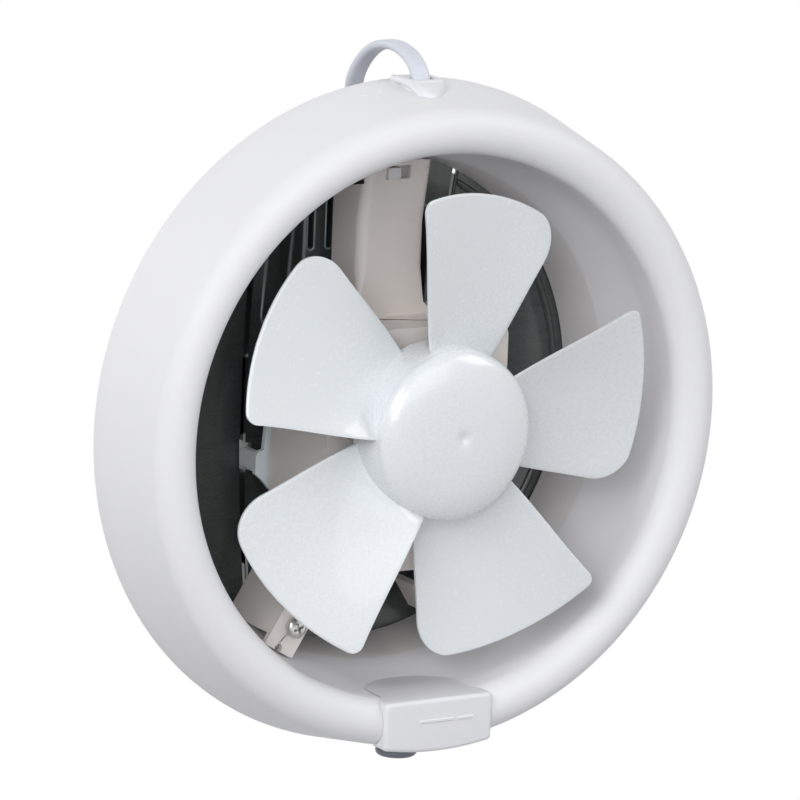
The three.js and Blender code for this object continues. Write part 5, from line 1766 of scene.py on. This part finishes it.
@dataclass
class Shutter:
    """Dished shutter: the fixed middle panel, two leaves, hinge pins and the pushing slide."""

    dome: float = 320.0
    end: float = 82.5
    seat: float = 26.3
    skin: float = 2.2
    rim: float = 88.0
    bead: float = 79.3
    bead_size: Flat = (1.1, 0.75)
    panel_half: float = 35.6
    panel_rib: tuple[float, float, float] = (1.3, 74.0, 2.6)
    rib_overlap: float = 0.8
    leaf_edge: float = 37.9
    leaf_rib: tuple[float, float, float] = (1.3, 72.0, 1.8)
    hinge: Flat = (36.4, 40.4)
    knuckles: Corners = ((-44, -26), (14, 44))
    barrel: Flat = (1.5, 2.8)
    pin: Corners = peg(1.2, -57.5, 57.5, 0.3)
    notch: Flat = (-24.5, -14.9)
    notch_wall: Flat = (33.1, 31.8)
    notch_wall_tall: float = 6.5
    pocket: tuple[float, float, float, float] = (22.0, 31.4, 23.0, 62.0)
    slots: Flat = (11.0, 18.0)
    slot_half: float = 1.4
    slot_z: Flat = (50.0, 70.0)
    guide_front: float = 26.6
    guide_edge: tuple[float, float, float] = (20.1, 45.6, 71.4)
    screw: PanScrew = PanScrew(radius=1.5, head_radius=2.9, head_height=1.8, length=8.0)
    screw_x: float = 20.0
    screw_circle: float = 85.3

    def depth(self, radius: float) -> float:
        """Front surface of the closed shutter at a radius."""
        return self.seat + (self.end ** 2 - radius ** 2) / (2 * self.dome)

    def dish(self) -> bpy.types.Object:
        """Makes the whole closed shutter with its bead and flat rim.

        Returns:
            The dish.
        """
        outline: Outline = [(self.end * i / 20, self.depth(self.end * i / 20)) for i in range(19)]
        for turn in (math.pi * i / 8 for i in range(9)):
            radius = self.bead - self.bead_size[0] * math.cos(turn)
            outline.append((radius, self.depth(radius) - self.bead_size[1] * math.sin(turn)))
        back = self.seat + self.skin
        outline += [(self.end, self.seat), (self.rim - 0.3, self.seat), (self.rim, self.seat + 0.3),
                    (self.rim, back - 0.4), (self.rim - 0.4, back), (self.end - 0.5, back)]
        outline += [(self.end * i / 20, self.depth(self.end * i / 20) + self.skin) for i in range(19, -1, -1)]
        return revolved(outline, segments=200).made("dish")

    def edge_rib(self, edge: float, inner: float, low: float, high: float, tall: float) -> Shape:
        """Rib behind an upright edge of the dish, which follows its curve.

        Args:
            edge: the edge that it runs along.
            inner: its other side.
            low: where it starts.
            high: where it ends.
            tall: how far it stands off the skin.

        Returns:
            The rib.
        """
        x0, x1 = sorted((edge, inner))
        rings, steps = [], 40
        for i in range(steps + 1):
            z = low + (high - low) * i / steps
            back = self.depth(math.hypot(edge, z)) + self.skin
            front, rear = back - self.rib_overlap, back + tall
            rings.append([(x0, front, z), (x1, front, z), (x1, rear, z), (x0, rear, z)])
        return lofted(rings)

    def barrels(self, sign: int) -> Shape:
        """Hinge barrels of a leaf, with the webs that tie them to its skin.

        Args:
            sign: -1 for the left leaf, 1 for the right one.

        Returns:
            The barrels round the pin.
        """
        x, y = sign * self.hinge[0], self.hinge[1]
        inner, outer = self.barrel
        x0, x1 = sorted((sign * self.leaf_edge, sign * (self.leaf_edge + 2.0)))
        shape = Shape()
        for low, high in self.knuckles:
            tube = revolved([(inner, low), (outer - 0.3, low), (outer, low + 0.3), (outer, high - 0.3),
                             (outer - 0.3, high), (inner, high)], segments=36)
            shape.add(tube.upright().moved(x, y, 0))
            shape.add(boxed((x0, self.depth(40) + 1.0, low + 0.05), (x1, y - 0.6, high - 0.05)))
        return shape

    def leaf(self, sign: int) -> list[bpy.types.Object]:
        """Makes a leaf: its part of the dish with a rolled edge, two hinge barrels and a rib.

        Args:
            sign: -1 for the left leaf, 1 for the right one.

        Returns:
            The leaf's objects.
        """
        far = 120.0
        low, high = sorted((sign * self.leaf_edge, sign * far))
        keep = boxed((low, 0, -far), (high, far / 2, far)).made("keep")
        side = carve(self.dish(), keep, Cut.COMMON)
        round_edges(side, width=0.75, segments=4, angle=50, dissolve=0)
        width, reach, tall = self.leaf_rib
        rib = self.edge_rib(sign * self.leaf_edge, sign * (self.leaf_edge + width), -reach, reach, tall)
        return [side, self.barrels(sign).made("barrels"), rib.made("rib")]

    def bead_loop(self, outline: Outline, radius: float, front: float | None = None) -> Shape:
        """Closed round bead along an outline.

        Args:
            outline: the [x, z] outline.
            radius: radius of the bead.
            front: y of the flat face that it lies on; the dish where there is none.

        Returns:
            The bead, a quarter of its radius deep in the face.
        """
        shape, count, sides = Shape(), len(outline), 8
        for i, (x, z) in enumerate(outline):
            (ax, az), (bx, bz) = outline[i - 1], outline[(i + 1) % count]
            along = Vector((bx - ax, bz - az)).normalized()
            y = (self.depth(math.hypot(x, z)) if front is None else front) + radius * 0.25
            shape.verts += [(x + along.y * u, y + v, z - along.x * u) for u, v in circle(radius, sides)]
            for k in range(sides):
                near, far = i * sides, ((i + 1) % count) * sides
                turned = (k + 1) % sides
                shape.faces.append((near + k, near + turned, far + turned, far + k))
        return shape

    def rims(self) -> Shape:
        """Beads round the pockets and the guide's slots, and along the guide's upright edges; they get a
        lighter colour as a painted highlight.

        Returns:
            All the rims.
        """
        rims = Shape()
        inner, outer, low, high = self.pocket
        edge, edge_low, edge_high = self.guide_edge
        for sign in (-1, 1):
            x0, x1 = sorted((sign * outer, sign * inner))
            rims.add(self.bead_loop(rounded(x0, low, x1, high, 4.6, 10), 0.62))
            for x in self.slots:
                x0, x1 = sorted((sign * (x - self.slot_half), sign * (x + self.slot_half)))
                rims.add(self.bead_loop(rounded(x0, self.slot_z[0], x1, self.slot_z[1], 1.35, 5), 0.4,
                                        self.guide_front))
            rims.add(rod(Axis.Z, 0.7, edge_low, edge_high, (sign * edge, self.guide_front + 0.5), 20))
        return rims

    def panel_ribs(self) -> Shape:
        """Ribs behind the panel's edges, split where the slide passes, and the walls of that notch.

        Returns:
            All the ribs.
        """
        ribs, (low, high) = Shape(), self.notch
        width, reach, tall = self.panel_rib
        for sign in (-1, 1):
            outer, inner = sign * self.panel_half, sign * (self.panel_half - width)
            for start, end in ((-reach, low), (high, reach)):
                ribs.add(self.edge_rib(outer, inner, start, end, tall))
            outer, inner = (sign * x for x in self.notch_wall)
            ribs.add(self.edge_rib(outer, inner, low - 2.5, high + 1.0, self.notch_wall_tall))
        return ribs

    def build(self, palette: Palette) -> None:
        """Makes the panel, the leaves on their pins, the slide and the screws.

        Args:
            palette: where finishes come from.
        """
        panel = copied("shutter_panel", "panel_moulding")
        round_edges(panel, width=0.8, segments=4, angle=34, dissolve=1.2)
        ribs, rims = self.panel_ribs().made("panel_edge_ribs"), self.rims().made("panel_rims_painted_highlight")
        # painted highlight: the rims take the lighter rim finish in place of reflections on the edges
        for piece, finish in ((panel, Finish.SHUTTER), (ribs, Finish.SHUTTER), (rims, Finish.RIM_HIGHLIGHT)):
            put(piece, palette, finish, "frame", "shutter_panel")
        for name, sign in (("left", -1), ("right", 1)):
            leaf = joined(self.leaf(sign), f"leaf_{name}")
            put(leaf, palette, Finish.SHUTTER, f"leaf_{name}", f"shutter_leaf_{name}")
            pin = revolved(self.pin, segments=24).upright().moved(sign * self.hinge[0], self.hinge[1], 0)
            # painted shade: the pins are darkened so the hinge gap stays black
            put(pin.made(f"pin_{name}"), palette, Finish.PAINTED_SHADE_STEEL, "frame", f"hinge_pin_{name}")
        slide = round_edges(copied("shutter_slide", "slide_plate"), width=0.4, segments=3, angle=30)
        put(slide, palette, Finish.SLIDE, "slide", "shutter_slide")
        high = math.sqrt(self.screw_circle ** 2 - self.screw_x ** 2)
        for i, (sx, sz) in enumerate(((-1, 1), (1, 1), (-1, -1), (1, -1)), 1):
            seat = Matrix.Translation((sx * self.screw_x, self.seat + self.skin + 0.3, sz * high)) @ Z_TO_Y
            screw = self.screw.made(f"screw_panel_{i}", seat)
            put(screw, palette, Finish.STEEL, "frame", f"panel_screw_{i}")


# ---- Mains lead ----


Route = list[tuple[Vector, Vector]]


@dataclass
class Lead:
    """Flat mains lead: the loop over the housing, the stretch beside the duct, coil, tie and plug.

    A route is a list of places, each with the direction of the flex's wide side.
    """

    width: float = 6.4
    thickness: float = 3.2
    declared_length: float = 1.21
    free_step: float = 1.2
    coil_steps: int = 72
    rear: float = 111.2
    duct: float = 91.0
    exit_y: float = -11.0
    exit_z: float = 103.8
    coil_centre: Point = (96.6, 52.0, -42.0)
    coil_inner: float = 28.0
    coil_pitch: float = 3.9
    coil_start: float = 30.0
    coil_turns: float = 4 + 30 / 360
    tail: float = 15.0
    loop: Corners = (
        (-10.9, -3.2), (-10.2, -0.4), (-8, 3.5), (-3.7, 6.8), (5.3, 9.2), (16, 8.1), (24, 4.1), (30.8, -2.9),
    )
    beside: Corners = ((60, 23.5), (47, 20.5), (33, 19.5), (21, 19.5))
    plug_half: Flat = (13.0, 6.7)
    plug_neck: Corners = ((0, 0.40), (1.2, 0.43))
    plug_body: Corners = (
        (10, 0.62), (12, 0.80), (14.5, 0.94), (18, 1.0), (26, 1.0), (31.8, 0.985), (32.6, 0.96), (33, 0.92))
    grip_rings: int = 5
    pin_half: float = 9.5
    pin_radius: Flat = (1.95, 1.85)
    pin_length: Flat = (9.5, 17.0)

    def stops(self) -> Route:
        """Places that the free stretch goes through, listed one by one.

        Returns:
            The route from the housing to the coil.
        """
        top, d = self.rear, self.duct
        rest = d + self.thickness / 2 + 0.5
        rows: list[tuple[float, ...]] = [(0, self.exit_y, self.exit_z, 1, 0, 0)]
        rows += [(0, y, top + up, 1, 0, 0) for y, up in self.loop]
        rows += [(0.8, 34.2, top - 8.8, 1, 0, 0), (4.2, 36, top - 15, 0.9, 0.2, 0.3),
                 (10.6, 35.6, top - 19.2, 0.45, 0.7, 0.35), (20, 32.4, top - 21.6, 0.2, 0.95, 0),
                 (31, 27.4, top - 23, 0, 1, 0)]
        for angle, y in self.beside:
            a = math.radians(angle)
            rows.append((rest * math.cos(a), y, rest * math.sin(a), 0, 1, 0))
        rows += [(d + 1.6, 20.3, 19.5, 0, 1, 0), (d + 4.8, 22.6, 11, 0, 1, 0.1),
                 (d + 9.3, 26.8, 2.8, 0, 0.9, 0.4), (d + 11.3, 31.8, -4.8, 0, 0.8, 0.6),
                 (d + 11.3, 38.5, -10.8, 0.1, 0.6, 0.8), (d + 10.7, 45.8, -15.5, 0.4, 0.4, 0.8),
                 (d + 8.6, 55, -18.8, 0.85, 0, 0.4), (d + 6.2, 64.2, -20.8, 1, 0, 0),
                 (self.coil_centre[0], 70.6, -22.6, 1, 0, 0), (self.coil_centre[0], 74.4, -25.3, 1, 0, 0)]
        rows.append((*self.coil_point(0), 1, 0, 0))
        return [(Vector(r[:3]), Vector(r[3:])) for r in rows]

    def coil_point(self, turns: float) -> Point:
        """Point on the coil.

        Args:
            turns: number of turns from its inner end.

        Returns:
            The point.
        """
        angle = math.radians(self.coil_start - 360 * turns)
        radius = self.coil_inner + self.coil_pitch * turns
        x, y, z = self.coil_centre
        return x, y + radius * math.cos(angle), z + radius * math.sin(angle)

    def free_stretch(self) -> Route:
        """The free stretch on a smooth curve through its stops, whose knots follow the distances.

        Returns:
            The route, in steps of about free_step.
        """
        stops = self.stops()
        places = [p for p, _ in stops]
        places = [places[0] * 2 - places[1]] + places + [places[-1] * 2 - places[-2]]
        rows = []
        for i in range(len(stops) - 1):
            p = places[i:i + 4]
            knots = [0.0]
            for a, b in zip(p, p[1:]):
                knots.append(knots[-1] + (b - a).length ** 0.5)
            steps = max(4, int((p[2] - p[1]).length / self.free_step))
            for share in (k / steps for k in range(steps)):
                t = knots[1] + (knots[2] - knots[1]) * share
                inner = [between(p[n], p[n + 1], knots[n], knots[n + 1], t) for n in range(3)]
                outer = [between(inner[n], inner[n + 1], knots[n], knots[n + 2], t) for n in range(2)]
                point = between(outer[0], outer[1], knots[1], knots[2], t)
                ease = share * share * (3 - 2 * share)
                rows.append((point, stops[i][1].lerp(stops[i + 1][1], ease)))
        return rows

    def route(self) -> Route:
        """The whole centreline, from the housing to the plug.

        Returns:
            The route, its bends evened out.
        """
        rows, wide = self.free_stretch(), Vector((1, 0, 0))
        steps = int(self.coil_turns * self.coil_steps)
        rows += [(Vector(self.coil_point(self.coil_turns * i / steps)), wide) for i in range(steps + 1)]
        end = rows[-1][0]
        rows += [(end - Vector((0, 0, self.tail * i / 8)), wide) for i in range(1, 9)]
        return smoothed(rows)

    def section(self) -> Outline:
        """Outline of a flat two-core flex, with a shallow waist between the cores.

        Returns:
            The outline, its wide side first.
        """
        half, thick = self.width / 2, self.thickness / 2
        outline, steps = [], 28
        for c, s in circle(1, steps):
            u = half * squared(c, 0.62)
            waist = 1 - 0.09 * math.exp(-((u / (0.28 * half)) ** 2))
            outline.append((u, thick * waist * squared(s, 0.75)))
        return outline

    def flex(self, route: Route) -> Shape:
        """The flex as one tube.

        Args:
            route: its centreline.

        Returns:
            The tube.
        """
        section, rings = self.section(), []
        places = [place for place, _ in route]
        ahead, behind = places[1:] + places[-1:], places[:1] + places[:-1]
        for (place, wide), after, before in zip(route, ahead, behind):
            tangent = (after - before).normalized()
            across = (wide - tangent * wide.dot(tangent)).normalized()
            thin = tangent.cross(across)
            rings.append([tuple(place + across * u + thin * v) for u, v in section])
        return lofted(rings)

    @property
    def plug_place(self) -> Point:
        """Middle of the plug's top face."""
        x, y, z = self.coil_point(self.coil_turns)
        return x, y, z - self.tail - 0.6

    def plug(self) -> Shape:
        """Plug body with a ribbed neck, swelling shoulders and a flat foot.

        Returns:
            The body.
        """
        (x, y, top), (half_x, half_y) = self.plug_place, self.plug_half
        rows = list(self.plug_neck)
        for i in range(self.grip_rings):
            down = 2.0 + 1.5 * i
            rows += [(down, 0.43 + 0.015 * i), (down + 0.5, 0.50 + 0.02 * i), (down + 1.1, 0.50 + 0.02 * i)]
        rings = []
        for down, share in rows + list(self.plug_body):
            ring = []
            for turn in (FULL_TURN * (k + 0.5) / 40 for k in range(40)):
                u, v = squared(math.cos(turn), 0.55), squared(math.sin(turn), 0.55)
                ring.append((x + u * half_x * share, y + v * half_y * (0.55 + 0.45 * share), top - down))
            rings.append(ring)
        return lofted(rings)

    def pin(self, sign: int) -> Shape:
        """A round contact with a domed tip and a sleeve.

        Args:
            sign: -1 for the nearer one, 1 for the farther one.

        Returns:
            The contact.
        """
        x, y, top = self.plug_place
        foot = top - self.plug_body[-1][0] - 0.3
        (sleeve, bare), (covered, long) = self.pin_radius, self.pin_length
        outline: Outline = [(0, foot), (sleeve, foot), (sleeve, foot - covered), (bare, foot - covered - 0.3),
                            (bare, foot - long)]
        outline += [(bare * math.cos(a), foot - long - sleeve * math.sin(a))
                    for a in (QUARTER_TURN * i / 8 for i in range(1, 8))]
        outline += [(0, foot - long - sleeve)]
        return revolved(outline, segments=28).upright().moved(x + sign * self.pin_half, y, 0)

    def build(self, palette: Palette) -> None:
        """Args:
            palette: where finishes come from.
        """
        route = self.route()
        lead = self.flex(route).made("mains_flex")
        put(lead, palette, Finish.SHEATH, "frame", "mains_lead", "lead_coil", "lead_tail")
        pieces = [put(self.plug().made("plug_moulding"), palette, Finish.SHEATH, "frame", "plug_body")]
        for side, sign in (("near", -1), ("far", 1)):
            contact = self.pin(sign).made(f"contact_{side}")
            pieces.append(put(contact, palette, Finish.STEEL, "frame", f"plug_pin_{side}"))
        tie = round_edges(copied("lead_tie", "wire_tie"), width=0.3)
        pieces.append(put(tie, palette, Finish.DARK, "frame", "lead_tie"))
        path = [tuple(p * MM) for p, _ in route]
        log.info("lead: %.3f m", sum((Vector(b) - Vector(a)).length for a, b in zip(path, path[1:])))
        path[0]


def between(low: Vector, high: Vector, low_knot: float, high_knot: float, t: float) -> Vector:
    """Point on the line through two places that are passed at two knots."""
    return low * ((high_knot - t) / (high_knot - low_knot)) + high * ((t - low_knot) / (high_knot - low_knot))


def smoothed(rows: Route, passes: int = 6) -> Route:
    """Evens out the bends of a route a little.

    Args:
        rows: the route.
        passes: how often each place is drawn towards its neighbours.

    Returns:
        The route with its ends and its wide directions kept.
    """
    points = [p for p, _ in rows]
    for _ in range(passes):
        inside = [b * 0.5 + (a + c) * 0.25 for a, b, c in zip(points, points[1:], points[2:])]
        points = [points[0]] + inside + [points[-1]]
    return [(p, w) for p, (_, w) in zip(points, rows)]


# ---- Stage ----


@dataclass(frozen=True)
class Lamp:
    """Rectangular soft light that faces the fan; lengths in metres, power in watts."""

    name: str
    place: Point
    size: Flat
    power: float
    on_matt: bool = True

    def build(self) -> None:
        """Makes the light."""
        data = bpy.data.lights.new(self.name, "AREA")
        data.shape = "RECTANGLE"
        data.size, data.size_y = self.size
        data.energy = self.power
        obj = linked(self.name, data)
        obj.location = self.place
        obj.rotation_euler = (-Vector(self.place)).to_track_quat("-Z", "Y").to_euler()
        obj.visible_diffuse = self.on_matt


@dataclass
class Stage:
    """Camera, floor, lights and background; the window lamp shows in reflections alone.

    The fade on the floor and the end of the camera's view are in metres.
    """

    eye: Point = (-984.36, -1627.09, 411.93)
    right: Point = (0.8586449, -0.51106451, 0.03926829)
    ahead: Point = (0.50713531, 0.83591519, -0.20990371)
    angle: float = 7.735
    floor_z: float = -420.0
    floor_half: float = 3000.0
    floor_colours: tuple[Colour, Colour] = ((0.44, 0.44, 0.45), (0.48, 0.48, 0.49))
    fade: Flat = (0.6, 1.05)
    near_share: float = 0.6
    fill_colour: Colour = (0.97, 0.98, 1.0)
    fill_level: float = 0.44
    view_end: float = 50.0
    lamps: tuple[Lamp, ...] = (
        Lamp("key", (-1.9, -1.1, 1.3), (1.2, 1.2), 19),
        Lamp("fill", (-1.2, -1.8, 0.7), (1.0, 1.0), 14),
        Lamp("right", (1.5, -1.0, 1.4), (1.0, 1.0), 11),
        Lamp("back", (-0.8, 1.4, 0.6), (1.0, 1.0), 4),
        Lamp("window", (0.03, -1.73, 1.0), (1.5, 1.4), 9, on_matt=False),
    )

    def camera(self) -> None:
        """Sets the camera where the photograph was taken."""
        data = bpy.data.cameras.new("camera")
        data.sensor_fit = "HORIZONTAL"
        data.angle = math.radians(self.angle)
        data.clip_end = self.view_end
        obj = linked("camera", data)
        right, ahead = Vector(self.right), Vector(self.ahead)
        axes = Matrix((right, right.cross(ahead), -ahead)).transposed()
        obj.matrix_world = Matrix.Translation(Vector(self.eye) * MM) @ axes.to_4x4()
        bpy.context.scene.camera = obj

    def world(self) -> None:
        """White for the camera, in reflections and through glass, and a soft grey for everything else."""
        world = bpy.data.worlds.new("world")
        bpy.context.scene.world = world
        world.use_nodes = True
        world.node_tree.nodes.clear()
        nodes = Nodes(world.node_tree)
        seen = nodes.add("ShaderNodeBackground", sockets={"Color": (1, 1, 1, 1), "Strength": 1.0})
        fill = nodes.add("ShaderNodeBackground",
                         sockets={"Color": (*self.fill_colour, 1), "Strength": self.fill_level})
        camera, glossy, through = nodes.light_path()
        mix = nodes.add("ShaderNodeMixShader", sockets={
            "Fac": camera.at_least(glossy).at_least(through), 1: fill.outputs[0], 2: seen.outputs[0]})
        nodes.add("ShaderNodeOutputWorld", sockets={"Surface": mix.outputs[0]})

    def floor(self) -> None:
        """Pale floor well below the fan, white where it is far away, with the fan's shadow near it."""
        size, z = self.floor_half, self.floor_z
        floor = Shape([(-size, -size, z), (size, -size, z), (size, size, z), (-size, size, z)],
                      [(0, 1, 2, 3)]).made("floor")
        paint = Paint("pale_floor")
        paint.colour(*self.floor_colours, paint.noise(3, 3))
        paint.roughness(0.7, 0.85, paint.noise(40, 2))
        distance = paint.value("ShaderNodeVectorMath", {"operation": "LENGTH"}, {0: paint.where}, "Value")
        whiteness = self.near_share + (1 - self.near_share) * distance.within(*self.fade)
        camera, glossy, through = paint.light_path()
        white = paint.add("ShaderNodeEmission", sockets={"Strength": 1.0})
        mix = paint.add("ShaderNodeMixShader", sockets={
            "Fac": (camera + glossy + through) * whiteness, 1: paint.shader.outputs[0], 2: white.outputs[0]})
        out = next(n for n in paint.tree.nodes if n.type == "OUTPUT_MATERIAL")
        paint.feed(out.inputs["Surface"], mix.outputs[0])
        floor.data.materials.append(paint.material)

    def build(self) -> None:
        """Sets the background, the floor, the lights and the view transform."""
        self.world()
        self.floor()
        for lamp in self.lamps:
            lamp.build()
        bpy.context.scene.view_settings.view_transform = "Standard"


def main() -> None:
    """Builds the fan piece by piece."""
    palette = Palette()
    stage = Stage()
    stage.camera()
    Lead().build(palette)
    stage.build()
    housing = Housing()
    steps: list[Callable[[Palette], None]] = [
        housing.build,
        LeadClamp(housing).build,
        Controls(housing).build,
        Duct().build,
        Bracket().build,
        Motor().build,
        Impeller().build,
        Shutter().build,
    ]
    for step in steps:
        step(palette)


if __name__ == "__main__":
    main()
